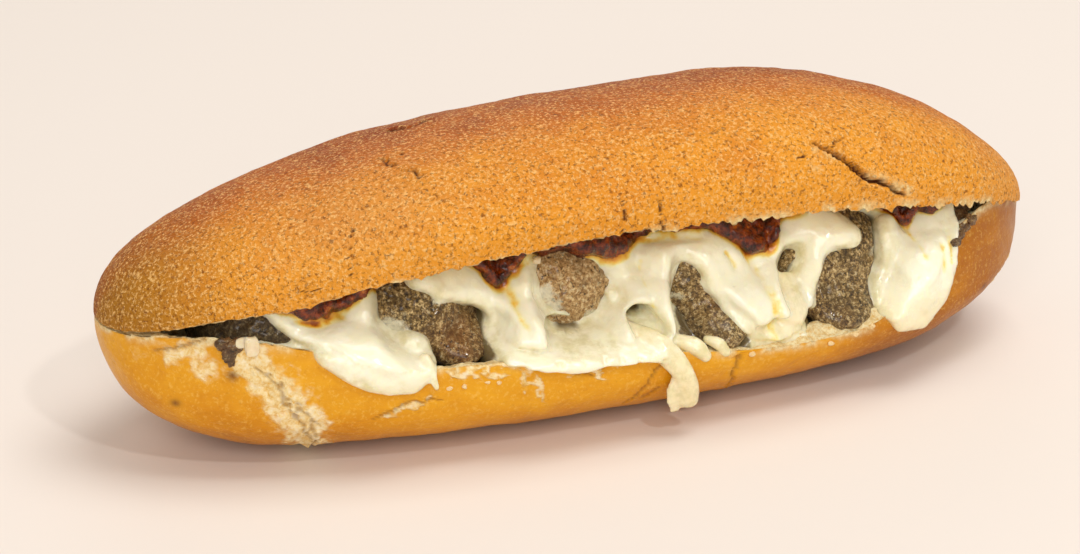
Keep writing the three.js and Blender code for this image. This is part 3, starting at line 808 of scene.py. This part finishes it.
def runBody(widths, path, thickness):
    # a rope of cheese along a path: a ball drawn out along it, flatter than it is wide
    bm, around, end = ballGrid(28, 60)
    points = np.array(path, float)
    steps = np.linspace(0, 1, len(points))
    curves = [curveThrough(list(zip(steps, points[:, k]))) for k in range(3)]
    capShare, capLength = 0.08, 1.6        # the rounded ends
    t = np.clip((end - capShare) / (1 - 2 * capShare), 0, 1)
    centre = np.stack([c(t) for c in curves], axis=1)
    ahead = [c(np.minimum(t + 0.02, 1)) - c(np.maximum(t - 0.02, 0)) for c in curves]
    ahead = unitLength(np.stack(ahead, axis=1))
    outward = np.array([0, math.copysign(1, path[1][1]), 0.25])
    side = unitLength(np.cross(ahead, outward))
    out = np.cross(side, ahead)
    width = curveThrough(list(zip(np.linspace(0, 1, len(widths)), widths)))(t)
    cap = np.clip(np.minimum(end, 1 - end) / capShare, 0, 1)
    tip = (np.where(end > 0.5, 1, -1) * (1 - cap) * capLength)[:, None] * ahead
    size = np.sqrt(np.maximum(0, 1 - (1 - cap) ** 2))
    turn = around * 2 * math.pi
    skin = side * (np.cos(turn) * width * size)[:, None] + out * (np.sin(turn) * thickness * size)[:, None]
    moveTo(bm, centre + tip + skin)
    return bm


def joined(parts, name):
    mesh = bpy.data.meshes.new(name)
    whole = bmesh.new()
    for part in parts:
        bmesh.ops.recalc_face_normals(part, faces=part.faces)
        part.to_mesh(mesh)
        whole.from_mesh(mesh)
        part.free()
    whole.to_mesh(mesh)
    whole.free()
    return mesh


def remeshed(mesh, voxel, smoothing, triangles):
    # one skin round everything in the mesh, softened, with no more triangles than asked
    helper = placed("helper", mesh)
    remesh = helper.modifiers.new("skin", "REMESH")
    remesh.mode = "VOXEL"
    remesh.voxel_size = voxel
    soften = helper.modifiers.new("soften", "SMOOTH")
    soften.factor = 0.5
    soften.iterations = smoothing
    bpy.context.view_layer.update()
    count = len(helper.evaluated_get(bpy.context.evaluated_depsgraph_get()).data.loop_triangles)
    thin = helper.modifiers.new("thin", "DECIMATE")
    thin.ratio = min(1, triangles / max(count, 1))
    result = bpy.data.meshes.new_from_object(helper.evaluated_get(bpy.context.evaluated_depsgraph_get()))
    bpy.data.objects.remove(helper)
    result.materials.clear()
    return result


def rowPlace(points):
    # where points lie along the row and round it, and how far from its line
    y, z = points[:, 1] - row["y"], points[:, 2] - row["z"]
    angle = np.degrees(np.arctan2(z, y))
    return points[:, 0], np.where(angle < -30, angle + 360, angle), np.hypot(y, z)


def makeCheese():
    look = cheeseLook
    sheet = rowLoft(cheeseReach, look["around"], look["along"])
    runs = [runBody(*run) for run in look["runs"]]
    mesh = remeshed(joined([sheet, *runs], "cheese"), look["voxel"], look["smoothing"], look["triangles"])
    co = pointsOf(mesh)
    x, angle, far = rowPlace(co)
    wave = rough(co, 3.5, 3, 4.4)[:, None] * normalsOf(mesh) * look["wave"]
    setPoints(mesh, co + wave)
    cover = sample(cheeseCover, x, angle)
    sauceNear = sample(sauceCover, x, angle)
    crease = sample(cheeseCrease, x, angle)
    window = sample(cheeseWindow, x, angle)
    patchy = rough(co, 4, 3, 6.1)
    thinness = 1 - smoothStep(cover + patchy * 1.4, 0.3, 3.0)
    oil = smoothStep(sauceNear + patchy * 0.8, -2.4, 2.6) + crease * (0.42 + 0.35 * patchy)
    low = smoothStep(angle, 192, 204) * (angle < 250)
    # painted shade: dark olive where the sheet lies well below the skin, in the caves and slits near the
    # openings
    deep = (1 - smoothStep(far - sample(skinReach, x, angle), -2.6, -1)) * (window < 1.5)
    hem = low * 0.8 + (far > sample(cheeseReach, x, angle) + 1.5) * 0.6
    paint(mesh, oil=oil, thin=thinness, deep=deep, hem=hem)
    return finishPiece(mesh, "meltedCheese", cheeseFinish(), "cheese", "cheese")


def makeSauce():
    mesh = meshFrom(rowLoft(sauceReach, sauceLook["around"], sauceLook["along"]), "sauce")
    co = pointsOf(mesh)
    lumps = 0.9 - pebbles(co, 2.6, 3.3)
    x, angle, _ = rowPlace(co)
    shown = smoothStep(sample(sauceCover, x, angle), -0.6, 1.2)
    push = (np.clip(lumps, 0, 1) * 0.9 + rough(co, 1.2, 2, 5.5) * 0.25) * shown - (1 - shown) * 1.2
    setPoints(mesh, co + normalsOf(mesh) * push[:, None])
    return finishPiece(mesh, "tomatoSauce", sauceFinish(), "sauce", "sauce")


topLook = {
    "around": 240,
    "along": 390,
    "domeShare": 0.76,
    "degree": 0.61,        # millimetres of crust to a degree over the dome
    "boxiness": 0.92,      # 1 for a round dome, lower for one with fuller shoulders
    "sag": 0.42,           # how far its cut face hangs into the gap, as a share of the gap
    # splits in the crust: points (along, degrees over the dome from the front rim), half-width, depth
    "splits": [
        ([(46.9, 35), (49.5, 32), (52.1, 27), (54.9, 23), (57, 17), (60.8, 13), (65, 10),
          (69.3, 5)], 1.15, 1.7),
        ([(63, 12), (66.4, 9)], 1.0, 0.7),
        ([(50.3, 29), (52.1, 35), (54.6, 37)], 0.4, 0.5),
        ([(-51.4, 75), (-49.8, 66)], 0.6, 0.5),
        ([(-47.4, 75), (-46.4, 73.6)], 0.5, 0.5),
        ([(-48.2, 62), (-46.9, 58), (-46.1, 54)], 0.9, 0.9),
        ([(-43.8, 100), (-41, 98), (-39, 95)], 0.9, 0.7),
        ([(-38, 95), (-34.5, 99), (-31, 101)], 0.6, 0.5),
        ([(-63.2, 39), (-65.2, 30), (-65.5, 23), (-66.8, 18), (-66.5, 9)], 0.22, 0.35),
        ([(-77, 9), (-73, 6)], 0.25, 0.35),
        ([(6.2, 16), (5.2, 9), (5.9, 0)], 0.25, 0.4),
        ([(-3.1, 16), (-4.1, 0)], 0.2, 0.3),
        ([(41, 27), (45, 28)], 0.3, 0.3),
    ],
    # pale flakes beside the splits: points, half-width, strength
    "flakes": [([(47.5, 31), (50.5, 27)], 1.7, 0.6), ([(44.5, 24), (47, 22)], 0.9, 0.5),
               ([(60, 15), (65, 11.5), (70, 8)], 1.9, 0.85)],
    # where the torn rim shows crumb: place along, half-length
    "teeth": [(9, 7), (32, 6), (24, 3), (54, 9), (74, 8), (92, 12)],
}


def makeTop():
    look = topLook
    bm, around, end = ballGrid(look["around"], look["along"])
    x = alongRoll(end)
    onDome = around < look["domeShare"]
    turn = math.pi * np.clip(around / look["domeShare"], 0, 1) ** 1.35
    degrees = np.degrees(turn)
    under = np.clip((around - look["domeShare"]) / (1 - look["domeShare"]), 0, 1)
    overDome = -np.sign(np.cos(turn)) * np.abs(np.cos(turn)) ** look["boxiness"]
    side = np.where(onDome, overDome, 1 - 2 * under)
    across = (side + 1) / 2
    halfWidth = halfWidthAt(x) + roll["topOverhang"]
    rimLine = mix(topFront(x), topBack(x), across)
    dome = domeHeight(x) * taper(x, 3.4) ** (1 / 2.2) * np.maximum(0, np.sin(turn)) ** look["boxiness"]
    sag = look["sag"] * np.maximum(0, topBack(x) - lowBack(x) - 1) * np.sin(math.pi * across**1.6)
    points = np.stack([x, side * halfWidth, rimLine + np.where(onDome, dome, -sag)], axis=1)
    points[isTip(end), 1] = 0

    # the cut face makes room for the filling
    rx, angle, far = rowPlace(points)
    room = sample(fillingReach, rx, angle) + row["room"]
    inRow = (np.abs(rx) < 95) & ~onDome & (far < room)
    push = np.where(inRow, room / np.maximum(far, 1e-3), 1)[:, None]
    centre = atRow(rx, 0 * rx, 0 * rx)
    points = centre + (points - centre) * push

    # torn rim: teeth of crust and crumb hang from it
    fromRim = np.where(onDome, degrees * look["degree"], across * 2 * halfWidth)
    fromBack = np.where(onDome, (180 - degrees) * look["degree"], (1 - across) * 2 * halfWidth)
    inFront = across < 0.5
    line = np.stack([x, np.where(inFront, 0.0, 50.0), np.zeros(len(x))], axis=1)
    ragged = np.abs(rough(line, 2.2, 3, 2.2)) * 1.1 + np.maximum(0, rough(line, 6, 2, 8.2)) * 0.7
    ragged += np.maximum(0, uneven(line, 1.3, 4.4)) * 0.6
    teeth = sum(np.exp(-(((x - place) / half) ** 4)) for place, half in look["teeth"]) * inFront
    drop = ragged * (0.85 + 0.8 * teeth) * nearEnds(x, 8)
    drop = drop * (0.4 + 0.6 * smoothStep(x, -96, -76)) - bell((x + 94) / 11) * inFront
    nearRim = bell(np.minimum(fromRim, fromBack) / 1.3)
    points[:, 2] -= drop * nearRim
    moveTo(bm, points)
    mesh = meshFrom(bm, "breadTop")

    co, no = pointsOf(mesh), normalsOf(mesh)
    u, v = x, degrees * look["degree"]
    crack, depth = np.zeros((2, len(x)))
    wobble = rough(co, 1.6, 3, 3.7) * 0.7
    for line, width, deep in look["splits"]:
        away, along = distanceToLine(u + wobble, v + wobble * 0.6, scaled(line, look["degree"]))
        fade = np.sqrt(np.clip(4 * along * (1 - along) + 0.15, 0, 1))
        gape = width * fade * (0.6 + 0.9 * rough(co, 3, 2, 8.8) ** 2) + 0.04
        here = np.exp(-((away / gape) ** 4)) * onDome
        lip = bell((away - 2 * width) / (width * 0.9)) * onDome
        depth += deep * here - deep * 0.3 * lip * fade
        crack = np.maximum(crack, here)
    lumps = rough(co, 22, 2, 1.1) * 0.45 + rough(co, 5, 3, 2.9) * 0.16
    crumbRough = (0.5 - pebbles(co, 2.2, 1.9)) * 0.9
    push = np.where(onDome, lumps - depth, crumbRough)
    push *= nearEnds(x, 4)
    setPoints(mesh, co + no * push[:, None])

    flakes = np.zeros(len(x))
    for line, width, strength in look["flakes"]:
        away, _ = distanceToLine(u + wobble * 1.5, v + wobble * 1.5, scaled(line, look["degree"]))
        flakes = np.maximum(flakes, strength * bell(away / width) * onDome)
    flakes *= smoothStep(rough(co, 1.4, 3, 6.9), -0.5, 0.35)

    edgeCrumb = bell(fromRim / (0.9 + 0.7 * smoothStep(x, 30, 60)))
    edgeCrumb *= smoothStep(rough(co, 4, 3, 4.1) + teeth * 0.7, 0.35, 0.9)
    bake = 0.3 + 0.55 * smoothStep(degrees, 40, 105) - 0.22 * (1 - smoothStep(degrees, 4, 34))
    bake -= 0.1 * smoothStep(-x, 40, 90)
    bake -= 0.15 * bell((x - 70) / 40) * (1 - smoothStep(degrees, 45, 95))
    dust = bell((x + 62) / 20) * bell((degrees - 38) / 26) + 0.7 * smoothStep(x, 84, 112)
    olive = smoothStep(-x, 82, 114) * (1 - 0.6 * smoothStep(degrees, 60, 110))
    crumb = np.where(onDome, np.maximum(edgeCrumb, flakes), 1)
    paint(mesh, bake=bake, olive=olive, dust=dust, crumb=crumb, crack=smoothStep(crack, 0.25, 0.8))
    return finishPiece(mesh, "breadTop", crustTopFinish(), "crust_top", "bread_top")


lowLook = {
    "around": 260,
    "along": 370,
    "crustShare": 0.62,
    "frontUpright": 0.18,  # shares of the crust's way round, from the front rim to the back one
    "under": 0.68,
    "backUpright": 0.14,
    # pale, rough patches where the crust stretched open: points (along, height), half-width, strength
    "pale": [
        ([(-111, 30), (-106, 30.3)], 2.2, 0.35),
        ([(-104, 30.6), (-98, 32)], 2.6, 0.85),
        ([(-99, 31), (-97, 27)], 2.6, 0.8),
        ([(-88, 29), (-84.5, 24), (-80.5, 19), (-77.5, 13), (-74.5, 6), (-73, 3)], 4.1, 1.45),
        ([(-91, 26), (-86, 25)], 1.8, 0.9),
        ([(-45, 23.6), (-30, 22.8), (-14, 22.6)], 1.1, 1),
        ([(-27, 21), (-24, 17), (-22.5, 14)], 1.1, 0.9),
        ([(-17, 21.5), (-11, 19), (-8, 17.5)], 0.9, 1),
        ([(-11, 23), (-4, 21.5)], 1.2, 1),
        ([(-60, 14), (-50, 17.5)], 0.7, 0.9),
        ([(84, 7), (92, 9), (100, 13), (107, 20)], 0.9, 1),
    ],
    "splits": [
        ([(-107, 31.2), (-101, 32.9), (-97, 34.6)], 0.35, 0.5),
        ([(-86.5, 28), (-82, 23), (-80.5, 18), (-77, 13), (-75, 8)], 0.35, 0.45),
        ([(-83, 24), (-79, 19), (-75.6, 14), (-73.6, 8), (-72.5, 3)], 0.3, 0.4),
        ([(-1.4, 8), (1.2, 12), (4.4, 17), (8, 19)], 0.3, 0.5),
        ([(2.4, 9), (5.4, 12)], 0.3, 0.4),
        ([(26.6, 5), (24.5, 11.7), (25.3, 16.5)], 0.45, 0.7),
        ([(-15, 19.6), (-11.6, 18)], 0.25, 0.35),
        ([(-62, 14), (-54, 17.5), (-47, 17.3)], 0.25, 0.35),
    ],
    "spots": [(-103.4, 19.1, 0.9), (88, 12, 0.7), (97, 18, 0.8), (-92, 26, 1.2)],
}


def makeBottom():
    look = lowLook
    bm, around, end = ballGrid(look["around"], look["along"])
    x = alongRoll(end)
    onCrust = around < look["crustShare"]
    p = np.clip(around / look["crustShare"], 0, 1)
    widest, keel = widestLevel(x), keelLevel(x)
    front, back = lowFront(x), lowBack(x)
    frontEnd, backStart = look["frontUpright"], 1 - look["backUpright"]
    upFront, upBack = p < frontEnd, p > backStart
    turn = math.pi * np.clip((p - frontEnd) / look["under"], 0, 1)
    z = np.maximum(widest - (widest - keel) * np.sin(turn), 0)
    z = np.where(upFront, mix(front, widest, p / frontEnd), z)
    z = np.where(upBack, mix(widest, back, (p - backStart) / look["backUpright"]), z)
    y = -halfWidthAt(x) * np.cos(turn)
    y = np.where(upFront, -lowHalfWidth(x, z), y)
    y = np.where(upBack, lowHalfWidth(x, z), y)
    # the cut face, with more of the grid near the front rim
    q = np.clip((around - look["crustShare"]) / (1 - look["crustShare"]), 0, 1)
    across = np.where(onCrust, np.where(p < 0.5, 0.0, 1.0), (1 - q) ** 1.4)
    faceY = mix(-lowHalfWidth(x, front), lowHalfWidth(x, back), across)
    y = np.where(onCrust, y, faceY)
    z = np.where(onCrust, z, crumbLevel(x, across))
    points = np.stack([x, y, z], axis=1)
    points[isTip(end), 1] = 0

    # room for the meatballs
    for centre, half in row["balls"]:
        half = np.array(half) + row["room"]
        away = (points - np.array(centre)) / half
        reach = np.linalg.norm(away, axis=1)
        inside = (reach < 1) & ~onCrust
        below = np.where(inside, np.sqrt(np.maximum(0, 1 - away[:, 0] ** 2 - away[:, 1] ** 2)), 0)
        points[:, 2] = np.where(inside, centre[2] - below * half[2], points[:, 2])
    moveTo(bm, points)
    mesh = meshFrom(bm, "breadBottom")

    co, no = pointsOf(mesh), normalsOf(mesh)
    frontSide = onCrust & (co[:, 1] < 0)
    wobble = rough(co, 1.8, 3, 3.3) * 0.8
    pale = np.zeros(len(x))
    for line, width, strength in look["pale"]:
        away, _ = distanceToLine(co[:, 0] + wobble * 2, co[:, 2] + wobble * 2, line)
        pale = np.maximum(pale, strength * bell(away / width) * frontSide)
    crack, depth = np.zeros((2, len(x)))
    for line, width, deep in look["splits"]:
        away, _ = distanceToLine(co[:, 0] + wobble, co[:, 2] + wobble * 0.6, line)
        here = bell(away / (width + 0.12)) * frontSide
        lip = bell((away - 2.2 * width) / width) * frontSide
        depth += deep * here - deep * 0.35 * lip
        crack = np.maximum(crack, here)
    lumps = rough(co, 24, 2, 6.6) * 0.4 + rough(co, 6, 3, 2.2) * 0.14 + rough(co, 1.8, 3, 7.2) * pale * 0.5
    crumbRough = (0.5 - pebbles(co, 2.0, 5.9)) * 0.8 + rough(co, 5, 2, 9.1) * 0.5
    push = np.where(onCrust, lumps - depth, crumbRough)
    push *= nearEnds(x, 4) * smoothStep(co[:, 2], 0, 2)
    setPoints(mesh, co + no * push[:, None])

    rimDistance = np.where(onCrust, np.where(co[:, 1] < 0, front - co[:, 2], back - co[:, 2]), 0)
    edge = bell(rimDistance / 1.4) * smoothStep(rough(co, 4, 2, 1.3), -0.5, 0.3)
    bake = 0.34 + 0.3 * smoothStep(18 - co[:, 2], -6, 16) + 0.15 * smoothStep(-x, 40, 100)
    bake += 0.55 * smoothStep(x, 30, 85)
    spots = sum(bell((co[:, 0] - u) / r) * bell((co[:, 2] - v) / r) for u, v, r in look["spots"])
    brown = smoothStep(x, 88, 112) * smoothStep(co[:, 2] + rough(co, 9, 2, 5.1) * 8, 8, 26) * 0.8
    paint(mesh, bake=bake, pale=pale, crumb=np.where(onCrust, edge, 1), spot=spots * frontSide,
          crack=smoothStep(crack, 0.3, 0.85) * 0.7, brown=brown)
    return finishPiece(mesh, "breadBottom", crustBottomFinish(), "crust_bottom", "bread_bottom")


meatLook = {
    "subdivisions": 6,
    "lump": 0.014,
    "crag": 0.75,
    "grain": 0.28,
    "darkest": 0,          # which meatball, counted from 0 at the left end
    # painted light: this meatball is painted lighter and warmer all over, as if lit from above
    "litBall": 2,
    # where a thin layer of cheese clings to the meat, and on the fifth meatball's right edge a painted
    # highlight in the same pale colour: place along, degrees, size
    "filmsAndHighlight": [
        (-55, 172, 3.4), (-52, 182, 3), (-44, 158, 2), (-17.8, 164, 3.2), (-16.4, 177, 3),
        (-7, 185, 2), (68.4, 156, 2.4), (68, 174, 2.6), (15, 184, 1.8), (-72, 166, 3),
    ],
}


def makeMeatball(number, finish):
    centre, half = (np.array(v, float) for v in row["balls"][number])
    bm = bmesh.new()
    bmesh.ops.create_icosphere(bm, subdivisions=meatLook["subdivisions"], radius=1)
    unit = unitLength(readCorners(bm))
    px, py, pz = unit.T
    lumps = np.sin(4.1 * px + number) * np.sin(3.7 * pz + 2 * number)
    lumps += 0.6 * np.sin(6.3 * pz - 5.2 * px + 3 * number) * np.cos(4.6 * py)
    size = 1 + meatLook["lump"] * (lumps - 0.5)
    moveTo(bm, centre + unit * half * size[:, None])
    mesh = meshFrom(bm, f"meatball{number + 1}")
    co, no = pointsOf(mesh), normalsOf(mesh)
    crags = -np.abs(rough(co, 5.5, 4, number + 0.5, 0.6)) * 1.3 + 0.35
    grains = 0.55 - pebbles(co, 1.5, number + 0.2)
    push = crags * meatLook["crag"] + grains * meatLook["grain"] - 0.1
    x, angle, far = rowPlace(co)
    out = (co - atRow(x, 0 * x, 0 * x)) / far[:, None]
    setPoints(mesh, co + no * push[:, None] + out * bulge(x, angle)[:, None])
    # painted shade: each meatball is darker towards its underside and in the hollows between its crags; the
    # left-end meatball is painted darker all over
    low = smoothStep(-(co[:, 2] - centre[2]), 1, 12)
    veil = sum(bell((x - at) / size) * bell((angle - turn) * row["degree"] / size)
               for at, turn, size in meatLook["filmsAndHighlight"])
    dark = low * 0.4 + smoothStep(-crags, 0.2, 0.9) * 0.4 + (number == meatLook["darkest"]) * 1.2
    # lighter patches at random, and painted light on the third meatball from the left
    light = smoothStep(rough(co, 9, 2, 3.7 + number), -0.5, 0.6) * 0.3 + (number == meatLook["litBall"])
    browned = bell((co[:, 0] + 40) / 6) * bell((co[:, 2] - 29) / 5)
    warm = browned * 0.9 + (number == meatLook["litBall"]) * 0.1
    warm = warm + smoothStep(rough(co, 8, 2, number), 0.2, 0.8) * 0.3
    paint(mesh, veil=veil, dark=dark, light=light, warm=warm)
    return finishPiece(mesh, f"meatball{number + 1}", finish, "meatball", f"meatball_{number + 1}")


bitsLook = {
    # name: finish, slot, roughness, how round the bits are from 1 down to 0 for a block, and each
    # bit's place along the row, degrees, three half-sizes and lift
    "meatCrumbs": ("meat", "meatball", 0.35, 1, [
        (-93, 168, 2.2, 1.1, 1.5, 0), (-90.8, 170, 2.2, 1.1, 1.6, 0), (-91.8, 173.5, 2.1, 1.0, 1.7, 0),
        (-92.2, 178, 1.6, 0.9, 1.6, 0), (-91.8, 183, 1.0, 0.7, 1.4, 0),
        (91.4, 140, 2.0, 1.5, 1.8, 0.6), (92.4, 147, 2.1, 1.5, 1.9, 0.5),
        (91.6, 154, 1.9, 1.4, 1.8, 0.4), (92.4, 160, 1.5, 1.2, 1.4, 0.2),
        (89.8, 165, 1.7, 1.1, 1.3, 0.2), (87.8, 169, 1.7, 1.0, 1.2, 0.2),
        (85.8, 172, 1.3, 0.9, 1.0, 0.1),
    ]),
    "onionBits": ("onion", "sauce", 0.06, 0.5, [
        (-87.6, 170.6, 1.5, 0.9, 2.1, 0.7), (-89.6, 167.6, 1.4, 0.6, 1.1, 0.5),
        (-18.6, 141, 0.9, 0.8, 0.7, 0.9), (50, 138, 1.0, 0.8, 0.7, 0.8),
    ]),
    "breadCrumbs": ("crumb", "crust_bottom", 0.1, 1, [
        (-45, 200, 0.9, 0.7, 0.6, 0.2), (-41.6, 199.5, 0.6, 0.8, 0.5, 0.2),
        (-36, 199, 0.8, 0.6, 0.5, 0.2), (-33.4, 199.5, 0.6, 0.5, 0.5, 0.2),
        (50, 207, 0.8, 0.6, 0.6, 0.2), (57, 206.5, 0.7, 0.7, 0.5, 0.2),
        (61.4, 205, 0.8, 0.6, 0.6, 0.2), (29, 204, 0.9, 0.7, 0.6, 0.2),
    ]),
}


def onionFinish():
    f = Finish("onion")
    base = f.blend(f.noise(1.6, 2), srgb(226, 196, 146), srgb(248, 234, 204))
    normal = f.bump(f.noise(1.2, 3), 0.3, 0.4)
    return f.shade(base, 0.25, normal,
                   {"Subsurface Weight": 0.4, "Subsurface Radius": (0.002, 0.0015, 0.0008),
                    "Subsurface Scale": 1.0})


def crumbFinish():
    f = Finish("crumbBits")
    base = f.blend(f.noise(0.8, 3, 0.7), srgb(222, 172, 96), srgb(252, 234, 186))
    normal = f.bump(f.noise(0.7, 3, 0.7), 0.7, 0.5)
    return f.shade(base, 0.75, normal, {})


def makeBits(name, finishes):
    finish, slot, roughness, roundness, bits = bitsLook[name]
    parts = []
    for i, (x, angle, halfX, halfY, halfZ, lift) in enumerate(bits):
        # each bit lies on whichever filling or bread is outermost there
        under = float(sample(np.maximum(fillingReach, bare), np.array([x]), np.array([angle]))[0])
        centre = atRow(x, math.radians(angle), under + lift)
        bm = bmesh.new()
        bmesh.ops.create_icosphere(bm, subdivisions=4, radius=1)
        unit = readCorners(bm)
        size = 1 + 0.2 * rough(unit * 1.3 + i * 3.1, 1, 2, 2.7)
        size += roughness * (0.5 - pebbles(unit * 1.9 + i, 1, 1.1))
        shape = np.sign(unit) * np.abs(unit) ** roundness
        moveTo(bm, centre + shape * size[:, None] * np.array([halfX, halfY, halfZ]))
        parts.append(bm)
    mesh = joined(parts, name)
    co = pointsOf(mesh)
    none = np.zeros(len(co))
    dark, warm = 0.7 + 0.3 * rough(co, 3, 2, 1.4), 0.9 + 0.4 * rough(co, 2, 1, 5.2)
    paint(mesh, dark=dark, warm=warm, light=none, veil=none)
    return finishPiece(mesh, name, finishes[finish], slot)


cheeseCover, cheeseWindow, cheeseCrease, cheeseReach = buildCheeseField()
sauceCover, sauceReach = buildSauceField()
fillingReach = highest(cheeseReach, sauceReach, rowReach)
makeBottom()
makeTop()
meat = meatFinish()
for number in range(len(row["balls"])):
    makeMeatball(number, meat)
makeCheese()
makeSauce()
finishes = {"meat": meat, "onion": onionFinish(), "crumb": crumbFinish()}
for name in bitsLook:
    makeBits(name, finishes)


studio = {
    "floor": (233, 222, 212),
    "world": 0.43,
    # lamps: place in metres, size, power
    "lamps": {"key": ((0.5, -0.1, 1.9), 1.1, 20), "fill": ((-1.2, -2.6, 1.6), 1.6, 38),
              "spark": ((0.15, -1.0, 1.1), 0.08, 3), "back": ((0.6, 2.4, 1.1), 1.6, 9)},
    "lampAim": (0, 0, 0.03),
    "worldColour": (1, 0.96, 0.9, 1),
    "floorSize": 4,
    # camera: millimetres and degrees, with the shift as shares of the frame's width
    "distance": 800,
    "azimuth": -22,
    "elevation": 22,
    "aimHeight": 33,
    "sensor": 36,
    "focal": 338 / 3,
    "shift": (-35 / 1080, -27 / 1080),
}


def makeStudio():
    bm = bmesh.new()
    bmesh.ops.create_grid(bm, x_segments=1, y_segments=1, size=studio["floorSize"])
    floor = placed("floor", meshFrom(bm, "floor"))
    f = Finish("floor")
    floor.data.materials.append(f.shade(srgb(*studio["floor"]), 0.9, None, {"Specular IOR Level": 0.1}))
    world = bpy.data.worlds.new("studio")
    bpy.context.scene.world = world
    world.use_nodes = True
    sky = world.node_tree.nodes["Background"].inputs
    sky["Color"].default_value = studio["worldColour"]
    sky["Strength"].default_value = studio["world"]
    for name, (place, size, power) in studio["lamps"].items():
        light = bpy.data.lights.new(name, "AREA")
        light.size = size
        light.energy = power
        lamp = placed(name, light)
        lamp.location = place
        ahead = Vector(studio["lampAim"]) - lamp.location
        lamp.rotation_euler = ahead.to_track_quat("-Z", "Y").to_euler()


def makeCamera():
    azimuth, elevation = math.radians(studio["azimuth"]), math.radians(studio["elevation"])
    back = Vector((math.sin(azimuth) * math.cos(elevation), -math.cos(azimuth) * math.cos(elevation),
                   math.sin(elevation)))
    aim = Vector((0, middleY * mm, studio["aimHeight"] * mm))
    lens = bpy.data.cameras.new("camera")
    lens.sensor_width = studio["sensor"]
    lens.lens = studio["focal"]
    lens.shift_x, lens.shift_y = studio["shift"]
    lens.clip_start, lens.clip_end = 0.01, 20
    camera = placed("camera", lens)
    camera.location = aim + back * studio["distance"] * mm
    camera.rotation_euler = (-back).to_track_quat("-Z", "Y").to_euler()
    bpy.context.scene.camera = camera


makeStudio()
makeCamera()
bpy.context.scene.view_settings.view_transform = "Standard"
bpy.context.view_layer.update()
